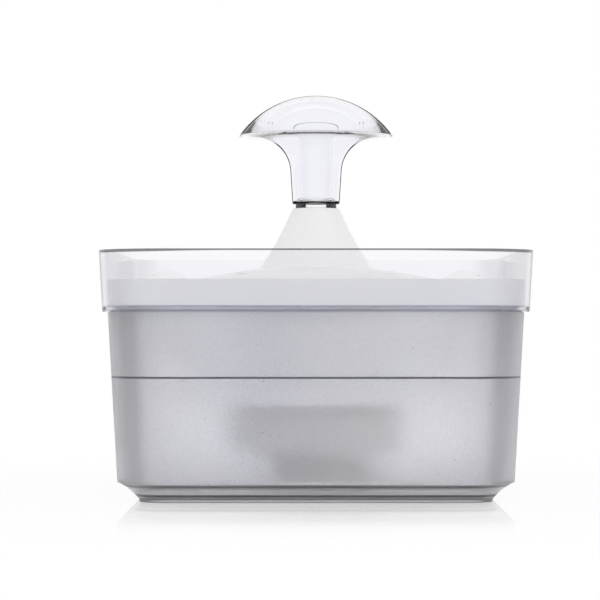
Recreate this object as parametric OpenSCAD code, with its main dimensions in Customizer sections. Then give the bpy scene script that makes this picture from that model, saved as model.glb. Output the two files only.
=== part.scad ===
// Pet water fountain: a frosted square reservoir, a clear splash collar, a
// collector funnel, a wavy drinking tray with a central tower, a clear mushroom
// spout, and a filter tray over a small submersible pump.
// Millimetres, +Z up. The origin is on the floor, under the middle of the spout.

/* [Fits] */
// Gap between a piece and what it rests on
seat = 0.3; // [0.2:0.05:0.4]
// Radial clearance of a shaft, pin, spigot or stud in its hole
fit = 0.08; // [0.05:0.01:0.1]

/* [Reservoir] */
// Distance from the middle to the centre of each rounded corner
corner_centre = 90; // [86:1:96]
// Width across the top of the reservoir
tub_top_w = 249.2; // [244:0.2:256]
// Width across the reservoir's bottom edge
tub_low_w = 237.8; // [234:0.2:242]
// Height of the reservoir's rim
tub_h = 113; // [109:1:120]
// Thickness of the reservoir's wall
tub_wall = 3.7; // [3:0.1:4.2]
// Thickness of the reservoir's floor
tub_floor = 4.2; // [3.5:0.1:5]
// Height of the reservoir's bottom edge, where the chamfer starts
tub_edge_h = 11.8; // [11:0.1:14]
// Width across the foot ring
foot_w = 211.4; // [204:0.2:216]
// Height of the foot ring
foot_h = 1.8; // [1.2:0.1:2.4]
// Width of the foot ring's tread
foot_tread = 5; // [4:0.5:8]
// Height of the fill line inside the reservoir
fill_line_h = 74.5; // [60:0.5:85]
// How far the fill line stands proud of the wall
fill_line_proud = 0.5; // [0.3:0.1:0.8]
// Width of the locating bead along the rim
rim_bead_w = 1.4; // [1:0.1:1.6]
// Height of the locating bead along the rim
rim_bead_h = 1.2; // [0.8:0.1:1.5]

/* [Splash collar] */
// Height of the collar
collar_h = 36.7; // [32:0.1:44]
// Thickness of the collar's wall
collar_wall = 3; // [2.4:0.1:3.4]
// How far the foot of the collar stands out past the reservoir's rim
collar_overhang = 3.2; // [2.8:0.1:5]
// How far the collar leans out from its foot to its rim
collar_lean = 2.1; // [1:0.1:4]
// Thickness of the collar's inner flange
flange_t = 3; // [2.6:0.1:4]

/* [Collector funnel] */
// Thickness of the funnel
funnel_wall = 2.4; // [1.8:0.1:2.8]
// Gap between the funnel's rim and the collar
funnel_gap = 1.3; // [1:0.1:1.6]
// Height of the funnel's rim wall
funnel_rim_h = 15.9; // [14.5:0.1:20]
// Height of the ledge's inner edge above the funnel's foot
ledge_h = 1.4; // [1:0.1:3]
// Rise of the ledge, in degrees
ledge_tilt = 11; // [9:0.5:11.5]
// Radius of the throat
throat_r = 86.5; // [85.5:0.1:90]
// Width of the curve from the ledge into the throat
throat_curve_w = 16.5; // [14:0.5:17]
// Depth of the curve from the ledge into the throat
throat_curve_h = 28; // [20:1:34]
// Height above the reservoir's floor of the lip that carries the filter tray
lip_clear_h = 53; // [51:0.5:56]
// Radius of the opening inside that lip
lip_r = 69; // [66:0.5:71]
// Radius of the bend from the throat into that lip
lip_bend_r = 4; // [3:0.5:6]

/* [Drinking tray] */
// Thickness of the drinking tray
tray_wall = 2.4; // [2:0.1:3]
// Width across the tray's lip
tray_w = 226; // [216:1:230]
// Radius of the tray's corners
tray_corner_r = 67; // [62:1:80]
// Height of the trough's bottom above the ledge's inner edge
trough_rise = 5; // [4:0.5:8]
// Radius of the trough's bottom
trough_r = 66; // [62:0.5:68]
// Distance from the middle to the crest of the rim, at the middle of each side
crest_reach = 92; // [88:1:96]
// Corner radius of the line of the crest
crest_corner_r = 60; // [50:1:70]
// Height of the humps above the trough
hump_h = 17; // [14:0.5:20]
// How far the crest dips at the corners
hump_dip = 6.5; // [4:0.5:8]
// Height of the lip above the trough
lip_h = 5; // [4:0.5:8]
// Number of steps round the wavy rim
rim_steps = 72; // [48:8:96]
// Height of the tower above the trough
tower_h = 56.4; // [50:0.2:70]
// Radius of the tower's top
tower_r = 15; // [14.6:0.1:18]
// Radius of the bore at the tower's top
tower_bore_r = 12.6; // [12.4:0.1:13]
// Depth of the straight bore at the tower's top
tower_bore_depth = 11; // [8:1:20]
// Thickness of the riser pipe
riser_wall = 2.3; // [1.8:0.1:2.5]
// Radius of the spigot at the riser's foot
spigot_r = 10.1; // [9.9:0.1:10.4]
// Length of the spigot
spigot_len = 13.5; // [11:0.5:15]
// Radius of the waterway in the spigot
spigot_bore_r = 8; // [7.5:0.1:8.3]
// Distance from the middle to each foot of the tray
tray_foot_reach = 104; // [102:0.5:105]
// Angle of each foot from the middle of its side, in degrees
tray_foot_angle = 24; // [0:1:26]
// Radius of a tray foot where it stands
tray_foot_r = 4.5; // [3.5:0.5:5]
// Radius of a tray foot where it joins the hump
tray_foot_top_r = 7; // [6:0.5:8]

/* [Spout] */
// Radius of the dome's lip
dome_r = 48.8; // [46:0.2:56]
// Height of the dome from its lip to its crown
dome_rise = 25.5; // [22:0.1:30]
// Thickness of the dome and the trumpet
spout_wall = 1.6; // [1.2:0.1:2]
// Outer radius of the spout's stem at its foot
stem_foot_r = 14.9; // [14.5:0.1:16]
// Outer radius of the spout's stem where the trumpet starts
stem_neck_r = 16.2; // [16:0.1:18]
// Height of the stem from its foot to the trumpet
stem_h = 19.6; // [16:0.1:26]
// Radius of the trumpet's flare
flare_r = 22.5; // [20:0.5:26]
// How far the trumpet's edge lies inside the dome's lip
slit_inset = 4; // [3:0.1:5]
// Rise of the trumpet from the end of its flare to its edge
trumpet_edge_rise = 0.6; // [0.5:0.1:2]
// Height of the water slit between the trumpet's edge and the dome's lip
slit_drop = 0.2; // [0:0.1:1]
// Outer radius of the feed tube
feed_r = 10.2; // [9.8:0.1:10.4]
// Thickness of the feed tube
feed_wall = 1.2; // [1:0.1:1.4]
// Length of the feed tube below the tower's top
feed_depth = 41; // [30:1:50]
// Distance from the feed tube's mouth to the dome's crown
feed_mouth_drop = 16.6; // [14:0.1:24]
// How far the mouth of the feed tube flares
feed_flare = 4.5; // [2:0.5:6]
// Height of the seat ring
seat_ring_h = 2.6; // [2:0.1:4]
// Radius of the seat ring over its lugs
seat_ring_r = 13.7; // [13:0.1:14.3]
// Radius of the stem O-ring's section
stem_seal_r = 1.05; // [0.9:0.05:1.1]
// Depth of the stem O-ring below the tower's top
stem_seal_depth = 4.4; // [4:0.1:6]
// Distance from the middle to the posts that carry the dome
dome_post_reach = 40; // [38:0.5:42]
// Radius of the posts that carry the dome
dome_post_r = 1.5; // [1.2:0.1:2]

/* [Filter tray] */
// Radius of the filter tray's floor
filter_floor_r = 74; // [72:0.5:75]
// Thickness of the filter tray's floor
filter_floor_t = 2; // [1.6:0.1:2.4]
// Depth of the filter tray
filter_h = 16.7; // [15:0.1:19]
// Thickness of the filter tray's sloping wall, measured level
filter_wall = 2.2; // [1.8:0.1:2.6]
// Gap between the filter tray's flange and the throat
filter_gap = 1.1; // [0.8:0.1:1.4]
// Thickness of the filter tray's flange
filter_flange_t = 2; // [1.6:0.1:2.4]
// Inner radius of the sump wall round the riser
sump_r = 17.1; // [16:0.1:18]
// Thickness of the sump wall
sump_wall = 2.1; // [1.6:0.1:2.4]
// Height of the sump wall above the filter tray's floor
sump_h = 27.7; // [22:0.1:32]
// Thickness of the hub round the riser's spigot
hub_wall = 2; // [1.6:0.1:2.4]
// Height of the hub above the shoulder that the spigot stands over
hub_h = 11.5; // [9:0.5:13]
// Depth of the seal cup below the tray's floor
cup_depth = 3.8; // [3.6:0.1:4.5]
// Thickness of the seal cup's floor
cup_floor = 1.4; // [1.2:0.1:1.8]
// Number of slots in the filter tray's floor
filter_slots = 12; // [8:1:16]
// Width of a slot in the filter tray's floor
filter_slot_w = 4; // [3:0.5:6]
// Distance from the middle to the inner end of the slots
filter_slot_in = 35; // [34:1:40]
// Distance from the middle to the outer end of the slots
filter_slot_out = 64; // [58:1:65]
// Thickness of the foam filter
foam_t = 4.4; // [3:0.1:5]
// Thickness of the carbon filter
carbon_t = 6.6; // [5:0.1:7]

/* [Pump hood] */
// Radius of the hood
hood_r = 55; // [53:0.5:58]
// Thickness of the hood
hood_wall = 2.4; // [2:0.1:3]
// Height of the hood
hood_h = 33; // [28:0.5:36]
// Radius of the hood's flat top
hood_flat_r = 31; // [30:0.5:33]
// Drop of the hood's sloping shoulder
hood_shoulder_h = 5.8; // [4:0.1:7]
// Radius of the opening in the hood's top
hood_hole_r = 17.5; // [14:0.5:18]
// Distance from the middle to the pegs that hold the hood
peg_reach = 24.5; // [23.5:0.5:26]
// Radius of the pegs that hold the hood
peg_r = 2; // [1.5:0.1:2.2]
// Height of the snap head on each peg
peg_head_h = 1; // [0.8:0.1:1.4]

/* [Pump] */
// Length of the pump from the outlet's axis to each end
pump_reach = 27.7; // [27:0.1:29]
// Width of the pump
pump_w = 34; // [33:0.5:36]
// Height of the pump
pump_h = 32.3; // [32:0.1:34]
// Thickness of the pump's casings
pump_wall = 1.8; // [1.5:0.1:2]
// Height of the suction cups
cup_h = 6.7; // [6:0.1:8]
// Radius of a suction cup
cup_r = 9.3; // [8.6:0.1:9.5]
// Distance between suction cups along the pump
cup_pitch = 19.6; // [19.3:0.1:20]
// Distance between suction cups across the pump
cup_cross = 19.6; // [19.3:0.1:20.4]
// Place of the middle pair of suction cups along the pump
cup_x = 1.6; // [0:0.1:3]
// Radius of a suction cup's stud
stud_r = 2.5; // [2:0.1:3]
// Thickness of the base plate
plate_t = 1.8; // [1.5:0.1:2]
// Outer radius of the outlet pipe
outlet_r = 5.1; // [4.8:0.1:5.3]
// Thickness of the outlet pipe
outlet_wall = 1.2; // [1:0.1:1.4]
// Radius of the outlet O-ring's section
outlet_seal_r = 1.2; // [1:0.05:1.25]
// Place of the joint between motor and strainer
motor_face_x = -8.3; // [-9:0.1:-8]
// Length of the pump chamber
chamber_len = 14; // [13:0.1:15]
// Radius of the pump chamber
chamber_r = 11; // [10.5:0.1:11.5]
// Thickness of the pump chamber's front wall
chamber_front_t = 3; // [2.5:0.1:3.5]
// Radius of the intake eye
eye_r = 5.5; // [5:0.1:6]
// Radius of the rotor
rotor_r = 6.1; // [5.6:0.1:6.3]
// Length of the rotor
rotor_len = 12; // [10:0.5:12.5]
// Running gap round the rotor and the vanes
rotor_gap = 0.5; // [0.4:0.05:0.7]
// Radius over the impeller's vanes
vane_r = 9.5; // [8.5:0.1:10]
// Length of the vanes along the shaft
vane_len = 8; // [6:0.5:9]
// Thickness of a vane
vane_t = 1.2; // [0.8:0.1:1.6]
// Number of vanes
vanes = 6; // [5:1:8]
// Radius of the ceramic shaft
shaft_r = 1; // [0.8:0.1:1.2]
// Radius of a rubber shaft bush
bush_r = 2.5; // [2.2:0.1:2.8]
// Length of a shaft bush
bush_len = 2.2; // [1.8:0.1:2.6]
// Wall of the rotor's well
well_wall = 1.4; // [1.2:0.1:1.8]
// Number of intake slots on each side of the strainer
strainer_slots = 7; // [5:1:7]
// Distance between intake slots
strainer_pitch = 3.6; // [3.4:0.05:3.7]
// Width of an intake slot
strainer_slot_w = 2.2; // [1.8:0.1:2.4]
// Place of the first intake slot along the pump
strainer_first_x = 1; // [0:0.1:1.5]
// Height of the first intake slot
strainer_slot_h = 6.6; // [5:0.1:8]
// Growth of each intake slot over the one before it
strainer_slot_growth = 0.7; // [0:0.05:0.8]
// Angle that each of the strainer's front windows spans, in degrees
strainer_window_arc = 60; // [40:1:62]
// Radius of the flow dial
dial_r = 12; // [11:0.1:12.5]
// Thickness of the flow dial
dial_t = 3.3; // [2.8:0.1:3.6]
// Angle that each of the flow dial's windows spans, in degrees
dial_window_arc = 48; // [36:1:58]
// Radius of the flow dial's pivot
dial_pin_r = 2; // [1.6:0.1:2.4]
// Length of the strainer's pull loop
loop_len = 12.4; // [11:0.1:14]
// Width of the strainer's pull loop
loop_w = 6; // [5:0.1:7]
// Radius of the cable gland
gland_r = 3.6; // [3.2:0.1:4]
// Length of the cable gland
gland_len = 6; // [5:0.1:8]
// Radius of the cable's way in the gland
gland_bore_r = 1.9; // [1.6:0.1:2]

/* [Hidden] */

// Smoothness of turned pieces, large and small
ROUND = 120;
SMALL = 48;
eps = 0.01;
// Gap round an O-ring in its groove
seal_gap = 0.1;

// Colours
frosted = [0.80, 0.81, 0.84];
clear = [0.93, 0.94, 0.97];
white = [0.95, 0.95, 0.96];
light_grey = [0.80, 0.79, 0.78];
pump_grey = [0.70, 0.69, 0.68];
rubber = [0.10, 0.10, 0.11];

// Heights, from the floor up
floor_z = foot_h + tub_floor;
collar_z = tub_h + seat;
rim_z = collar_z + collar_h;
funnel_z = collar_z + flange_t + seat;
ledge_z = funnel_z + ledge_h;
funnel_lip_z = floor_z + lip_clear_h;
filter_z = funnel_lip_z + seat;
filter_top_z = filter_z + filter_h;
trough_z = ledge_z + trough_rise;
tower_z = trough_z + tower_h;
stem_z = tower_z + seat + seat_ring_h + seat;
neck_z = stem_z + stem_h;
flare_z = neck_z + flare_r;
trumpet_edge_z = flare_z + trumpet_edge_rise;
dome_lip_z = trumpet_edge_z + slit_drop;
crown_z = dome_lip_z + dome_rise;
feed_mouth_z = crown_z - feed_mouth_drop;
hood_z = filter_z - seat - hood_h;
pump_z = floor_z + seat + cup_h + seat;
plate_top_z = pump_z + plate_t;
pump_top_z = pump_z + pump_h;
axle_z = pump_z + pump_h / 2;
gland_z = plate_top_z + seat + 9;
gland_neck_r = gland_r - 1;

// Filter tray: the shoulder in its hub, the riser's foot above it, the seal's cup
hub_shoulder_z = filter_z + 0.9;
riser_z = hub_shoulder_z + seat;
seal_cup_z = filter_z - cup_depth;
seal_pocket_r = outlet_r + 2 * outlet_seal_r + 0.3;
filter_flange_r = throat_r - filter_gap;
foam_z = filter_z + filter_floor_t + seat;
carbon_z = foam_z + foam_t + seat;
pegs = 3;

// Spout: the floor of its stem and the ball that its dome is cut from
stem_floor_t = 1.5;
dome_ball_r = (dome_r * dome_r + dome_rise * dome_rise) / (2 * dome_rise);

// Pump: places along X of the chamber, the rotor and its well
half_w = pump_w / 2;
chamber_x0 = motor_face_x + seat;
chamber_x1 = chamber_x0 + chamber_len;
chamber_front_x = chamber_x1 - chamber_front_t;
well_r = rotor_r + rotor_gap;
rotor_x1 = motor_face_x - seat;
rotor_x0 = rotor_x1 - rotor_len;
well_end_x = rotor_x0 - rotor_gap;
bush_back_x = well_end_x - bush_len;
// Thickness left over the studs of the suction cups
stud_cover = 0.4;
// Rounding of the casings' long edges
casing_r = 2.4;
// Inner and outer radius of the windows that the flow dial opens and closes
window_in = 5;
window_out = 9;

// Half widths of the square pieces
tub_top = tub_top_w / 2;
tub_low = tub_low_w / 2;
collar_foot = tub_top + collar_overhang;
flange_in = tub_top - tub_wall + 0.7;

// Half width of the collar's inner face at height z
function collar_face(z) =
    collar_foot - collar_wall + collar_lean * (z - collar_z) / collar_h;

// Half width of the reservoir's outer face at height z
function tub_face(z) =
    tub_low + (tub_top - tub_low) * (z - tub_edge_h) / (tub_h - tub_edge_h);

// Height of the funnel's ledge at radius r
function ledge_at(r) = ledge_z + (r - throat_r - throat_curve_w) * tan(ledge_tilt);

// Points of an ellipse's arc from angle a to angle b
function arc(centre, rx, ry, a, b, n) =
    [for (i = [0:n]) let (t = a + (b - a) * i / n)
        [centre.x + rx * cos(t), centre.y + ry * sin(t)]];

// Points of a shallow curve from p to q that bows out by s to its left
function bow(p, q, s, n) =
    let (d = q - p, side = [-d.y, d.x] / norm(d))
    [for (i = [0:n]) let (t = i / n) p + d * t + side * (4 * s * t * (1 - t))];

// Distance from the middle to the edge of a rounded square, at angle a
function square_reach(half, r, a) =
    let (c = half - r, u = abs(((a + 45) % 90) - 45))
    half * tan(u) <= c
        ? half / cos(u)
        : c * (cos(u) + sin(u)) + sqrt(r * r - pow(c * (cos(u) - sin(u)), 2));

// A profile of half width and height, carried round a square with rounded corners
module around_square() {
    for (q = [0:3]) rotate(90 * q) {
        translate([corner_centre, corner_centre])
            rotate_extrude(angle = 90, $fn = ROUND)
                translate([-corner_centre, 0]) children();
        translate([0, corner_centre])
            rotate([90, 0, 0]) linear_extrude(2 * corner_centre) children();
    }
}

// The middle of a square piece, inside the corner centres
module square_middle(z0, z1) {
    translate([-corner_centre, -corner_centre, z0])
        cube([2 * corner_centre, 2 * corner_centre, z1 - z0]);
}

// A flat rounded square whose corners share the pieces' corner centres
module rounded_square(half) {
    r = half - corner_centre;
    square([2 * half, 2 * corner_centre], center = true);
    square([2 * corner_centre, 2 * half], center = true);
    for (x = [-1, 1], y = [-1, 1])
        translate([x * corner_centre, y * corner_centre]) circle(r, $fn = ROUND);
}

// A solid turned about the vertical axis
module turned(points, fn = ROUND) {
    rotate_extrude($fn = fn) polygon(points);
}

// A straight tube along +Z
module pipe(r_out, r_in, z0, z1, fn = SMALL) {
    translate([0, 0, z0]) difference() {
        cylinder(r = r_out, h = z1 - z0, $fn = fn);
        translate([0, 0, -1]) cylinder(r = r_in, h = z1 - z0 + 2, $fn = fn);
    }
}

// A cylinder along +X, on the impeller's axis
module rod_x(r, x0, x1, fn = SMALL) {
    translate([x0, 0, axle_z]) rotate([0, 90, 0]) cylinder(r = r, h = x1 - x0, $fn = fn);
}

// ---- Reservoir ----

module reservoir() {
    foot = foot_w / 2;
    foot_step = 0.4;
    inner_edge = tub_face(tub_edge_h) - tub_wall;
    inner_edge_z = tub_edge_h + 1.4;
    line_h = 0.8;
    bead_mid = tub_top - tub_wall / 2;
    function inner_face(z) = tub_face(z) - tub_wall;
    profile = concat(
        [[corner_centre, foot_h], [foot - foot_tread, foot_h], [foot - foot_tread, 0],
         [foot, 0], [foot, foot_h]],
        bow([foot + foot_step, foot_h], [tub_low, tub_edge_h], 1, 6),
        [[tub_top, tub_h],
         [bead_mid + rim_bead_w / 2, tub_h],
         [bead_mid + rim_bead_w / 2, tub_h + rim_bead_h],
         [bead_mid - rim_bead_w / 2, tub_h + rim_bead_h],
         [bead_mid - rim_bead_w / 2, tub_h],
         [inner_face(tub_h), tub_h],
         [inner_face(fill_line_h + line_h), fill_line_h + line_h],
         [inner_face(fill_line_h) - fill_line_proud, fill_line_h],
         [inner_face(fill_line_h - line_h), fill_line_h - line_h],
         [inner_edge, inner_edge_z]],
        bow([inner_edge - 0.5, inner_edge_z - 0.5], [foot - 1, floor_z], -0.4, 5),
        [[corner_centre, floor_z]]);
    color(frosted) {
        around_square() polygon(profile);
        square_middle(foot_h, floor_z);
    }
}

// ---- Splash collar ----

module splash_collar() {
    rim = collar_foot + collar_lean;
    edge = 0.6;
    bead_mid = tub_top - tub_wall / 2;
    groove_w = rim_bead_w / 2 + seat;
    groove_z = tub_h + rim_bead_h + seat;
    flange_z = collar_z + flange_t;
    color(clear, 0.5) around_square() polygon([
        [flange_in, collar_z],
        [bead_mid - groove_w, collar_z], [bead_mid - groove_w, groove_z],
        [bead_mid + groove_w, groove_z], [bead_mid + groove_w, collar_z],
        [collar_foot - edge, collar_z], [collar_foot, collar_z + edge],
        [rim, rim_z - edge], [rim - edge, rim_z],
        [rim - collar_wall + edge, rim_z], [rim - collar_wall, rim_z - edge],
        [collar_face(flange_z), flange_z],
        [flange_in, flange_z]]);
}

// ---- Collector funnel ----

module collector_funnel() {
    t = funnel_wall;
    top_z = funnel_z + funnel_rim_h;
    foot = collar_face(funnel_z) - funnel_gap;
    rim = collar_face(top_z) - funnel_gap;
    curve_r = throat_r + throat_curve_w;
    curve_z = ledge_z - throat_curve_h;
    bend_r = throat_r - lip_bend_r;
    bend_z = funnel_lip_z + lip_bend_r;
    // Beyond the square's corners, where the ledge is trimmed
    far = 1.6 * foot;
    lip_edge = 0.5;
    upper = concat(
        [[far, ledge_at(far)]],
        arc([curve_r, curve_z], throat_curve_w, throat_curve_h, 90, 180, 10),
        arc([bend_r, bend_z], lip_bend_r, lip_bend_r, 0, -90, 5),
        [[lip_r, funnel_lip_z]]);
    lower = concat(
        [[lip_r, funnel_lip_z - t]],
        arc([bend_r, bend_z], lip_bend_r + t, lip_bend_r + t, -90, 0, 5),
        arc([curve_r, curve_z], throat_curve_w - t, throat_curve_h - t, 180, 90, 10),
        [[far, ledge_at(far) - t]]);
    color(white) {
        around_square() polygon([
            [foot - t, funnel_z], [foot, funnel_z], [rim, top_z - lip_edge],
            [rim - lip_edge, top_z], [rim - t + lip_edge, top_z], [rim - t, top_z - lip_edge]]);
        intersection() {
            turned(concat(upper, lower));
            linear_extrude(top_z) rounded_square(foot - t / 2);
        }
    }
}

// ---- Drinking tray ----

// How far the crest has dipped at angle a: 0 at the sides, 1 at the corners
function dip_at(a) = pow((1 - cos(4 * a)) / 2, 2.2);

// Height of the tray's upper face, s of the way out at angle a.
// s runs from 0 at the trough to 1 at the crest, and to 2 at the lip.
function tray_face(s, a) =
    let (crest = hump_h - hump_dip * dip_at(a), edge = lip_h + 2 * dip_at(a))
    trough_z + (s <= 1
        ? crest * (1 - cos(180 * s)) / 2
        : edge + (crest - edge) * cos(90 * (s - 1)));

// Radius of the place s of the way out at angle a
function tray_radius(s, a) =
    let (crest = square_reach(crest_reach, crest_corner_r, a),
         edge = square_reach(tray_w / 2, tray_corner_r, a))
    s <= 1 ? trough_r + (crest - trough_r) * s : crest + (edge - crest) * (s - 1);

function tray_point(s, a, drop) =
    let (r = tray_radius(s, a)) [r * cos(a), r * sin(a), tray_face(s, a) - drop];

// The wavy rim, from the trough out over the crest to the lip
module wavy_rim() {
    n = rim_steps;
    out = concat([for (i = [0:9]) i / 9], [for (i = [1:5]) 1 + i / 5]);
    rings = concat(
        [for (s = out) [for (i = [0:n - 1]) tray_point(s, 360 * i / n, 0)]],
        [for (k = [len(out) - 1:-1:0])
            [for (i = [0:n - 1]) tray_point(out[k], 360 * i / n, tray_wall)]]);
    m = len(rings);
    polyhedron(
        [for (ring = rings) each ring],
        [for (k = [0:m - 1], i = [0:n - 1])
            let (j = (i + 1) % n, u = (k + 1) % m)
            each [[k * n + i, u * n + j, u * n + i], [k * n + i, k * n + j, u * n + j]]]);
}

// Height of the middle of the tray's thickness at a place off the axis
function tray_core(x, y) =
    let (a = atan2(y, x), r = norm([x, y]),
         crest = square_reach(crest_reach, crest_corner_r, a),
         edge = square_reach(tray_w / 2, tray_corner_r, a),
         s = r < crest ? (r - trough_r) / (crest - trough_r) : 1 + (r - crest) / (edge - crest))
    tray_face(s, a) - tray_wall / 2;

// A foot under a hump, tapering down to the ledge. Its head ends inside the hump.
module tray_foot(angle) {
    n = 16;
    toe = 1.2;
    z = ledge_at(tray_foot_reach + tray_foot_r) + seat;
    centre = tray_foot_reach * [cos(angle), sin(angle)];
    ring = [for (i = [0:n - 1]) [cos(360 * i / n), sin(360 * i / n)]];
    function at(p, r) = centre + r * p;
    levels = [
        [for (p = ring) let (q = at(p, tray_foot_r - toe)) [q.x, q.y, z]],
        [for (p = ring) let (q = at(p, tray_foot_r)) [q.x, q.y, z + toe]],
        [for (p = ring) let (q = at(p, tray_foot_top_r)) [q.x, q.y, tray_core(q.x, q.y)]]];
    polyhedron(
        concat([for (level = levels) each level],
               [[centre.x, centre.y, z], [centre.x, centre.y, tray_core(centre.x, centre.y)]]),
        concat(
            [for (i = [0:n - 1]) [3 * n, i, (i + 1) % n]],
            [for (k = [0:1], i = [0:n - 1])
                let (j = (i + 1) % n, u = k + 1)
                each [[k * n + i, u * n + i, u * n + j], [k * n + i, u * n + j, k * n + j]]],
            [for (i = [0:n - 1]) [3 * n + 1, 2 * n + (i + 1) % n, 2 * n + i]]));
}

module drinking_tray() {
    n = 22;
    foot_r = trough_r - 2;
    run = foot_r - tower_r;
    // The tower's skin is a parabola that ends level in the trough
    function skin(i) = let (u = i / n) [tower_r + run * u, trough_z + tower_h * pow(1 - u, 2)];
    function slope(i) = -2 * tower_h * (1 - i / n) / run;
    function under(i) =
        let (m = slope(i), k = tray_wall / sqrt(1 + m * m)) skin(i) + [m * k, -k];
    shoulder_z = filter_z + seat + spigot_len;
    shoulder_r = spigot_r + 1;
    spigot_edge = 0.6;
    tower_top_t = 1.2;
    taper_top_z = tower_z - tower_bore_depth;
    taper_low_z = shoulder_z + 2;
    riser_r = tower_bore_r + riser_wall;
    color(white) {
        intersection() {
            union() {
                turned(concat(
                    [for (i = [0:n]) skin(i)],
                    [[trough_r + 4, trough_z], [trough_r + 4, trough_z - tray_wall]],
                    [for (i = [n:-1:1]) under(i)],
                    [[tower_bore_r + 0.3, tower_z - tower_top_t], [tower_bore_r + 0.3, tower_z]]));
                turned([
                    [tower_bore_r, tower_z], [riser_r, tower_z], [riser_r, taper_top_z],
                    [shoulder_r, taper_low_z], [shoulder_r, shoulder_z],
                    [spigot_r, shoulder_z], [spigot_r, riser_z + spigot_edge],
                    [spigot_r - spigot_edge, riser_z], [spigot_bore_r, riser_z],
                    [spigot_bore_r, shoulder_z], [tower_bore_r, taper_top_z]], SMALL * 2);
            }
            linear_extrude(tower_z + 1)
                polygon([for (i = [0:rim_steps - 1])
                    trough_r * [cos(360 * i / rim_steps), sin(360 * i / rim_steps)]]);
        }
        wavy_rim();
        for (q = [0:3], side = [-1, 1]) rotate(90 * q) tray_foot(side * tray_foot_angle);
    }
}

// ---- Spout ----

module spout_trumpet() {
    t = spout_wall;
    flare_x = stem_neck_r + flare_r;
    edge_r = dome_r - slit_inset;
    bore = feed_r + fit;
    color(clear, 0.5) turned(concat(
        [[bore, stem_z], [stem_foot_r, stem_z]],
        arc([flare_x, neck_z], flare_r, flare_r, 180, 90, 14),
        [[edge_r, trumpet_edge_z], [edge_r, trumpet_edge_z + t * 0.6],
         [flare_x, flare_z + t]],
        arc([flare_x, neck_z], flare_r + t, flare_r + t, 90, 180, 14),
        [[stem_foot_r - t, stem_z + stem_floor_t], [bore, stem_z + stem_floor_t]]));
}

// Height of the dome's inner face at radius r
function dome_inside(r) =
    crown_z - dome_ball_r + sqrt(pow(dome_ball_r - spout_wall, 2) - r * r);

module spout_dome() {
    outer = dome_ball_r;
    inner = outer - spout_wall;
    centre = [0, crown_z - outer];
    lip_a = asin((dome_lip_z - centre.y) / outer);
    post_z = flare_z + spout_wall + seat;
    color(clear, 0.5) {
        turned(concat(
            arc(centre, outer, outer, lip_a, 90, 20),
            arc(centre, inner, inner, 90, lip_a, 20)));
        for (q = [0:3]) rotate(45 + 90 * q) translate([dome_post_reach, 0, post_z])
            cylinder(r = dome_post_r, h = dome_inside(dome_post_reach) + spout_wall / 2 - post_z,
                     $fn = 24);
    }
}

module feed_tube() {
    inner = feed_r - feed_wall;
    low_z = tower_z - feed_depth;
    // The mouth flares a little at first, then more
    flare_start_z = feed_mouth_z - 13;
    flare_mid_z = feed_mouth_z - 5;
    flare_mid = feed_flare * 0.3;
    // Two lands hold the O-ring between them
    seal_z = tower_z - stem_seal_depth;
    groove = stem_seal_r + 0.15;
    land = 0.8;
    land_r = tower_bore_r - 0.8;
    // A collar stands on the floor of the stem
    hold_r = feed_r + 1.6;
    hold_z = stem_z + stem_floor_t + seat;
    hold_t = 1.2;
    color(clear, 0.6) turned([
        [inner, low_z], [feed_r, low_z],
        [feed_r, seal_z - groove - land], [land_r, seal_z - groove - land],
        [land_r, seal_z - groove], [feed_r, seal_z - groove],
        [feed_r, seal_z + groove], [land_r, seal_z + groove],
        [land_r, seal_z + groove + land], [feed_r, seal_z + groove + land],
        [feed_r, hold_z], [hold_r, hold_z], [hold_r, hold_z + hold_t],
        [feed_r, hold_z + hold_t], [feed_r, flare_start_z],
        [feed_r + flare_mid, flare_mid_z],
        [feed_r + feed_flare, feed_mouth_z], [inner + feed_flare, feed_mouth_z],
        [inner + flare_mid, flare_mid_z], [inner, flare_start_z]], SMALL * 2);
}

module seat_ring() {
    z = tower_z + seat;
    lug_h = 1.6;
    lug_in = feed_r + 1;
    lug_arc = 30;
    color([0.35, 0.36, 0.40]) {
        pipe(seat_ring_r - lug_h, feed_r + fit, z, z + seat_ring_h, SMALL * 2);
        for (a = [35, 145, 215, 325])
            rotate(a - lug_arc / 2) translate([0, 0, z]) rotate_extrude(angle = lug_arc, $fn = 96)
                translate([lug_in, 0]) square([seat_ring_r - lug_in, seat_ring_h]);
    }
}

module stem_o_ring() {
    color(rubber) translate([0, 0, tower_z - stem_seal_depth]) rotate_extrude($fn = 96)
        translate([feed_r + seal_gap + stem_seal_r, 0]) circle(stem_seal_r, $fn = 32);
}

// ---- Filter tray ----

// Radius of the filter tray's outer wall at height z
function filter_face(z) =
    filter_floor_r
    + (filter_flange_r - 1.6 - filter_floor_r) * (z - filter_z) / (filter_h - filter_flange_t);

// Radius of the filter tray's inner wall at height z
function filter_inside(z) =
    let (z0 = filter_z + filter_floor_t, r0 = filter_face(z0),
         r1 = filter_face(filter_top_z - filter_flange_t))
    r0 - filter_wall + (r1 - r0) * (z - z0) / (filter_top_z - z0);

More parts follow.
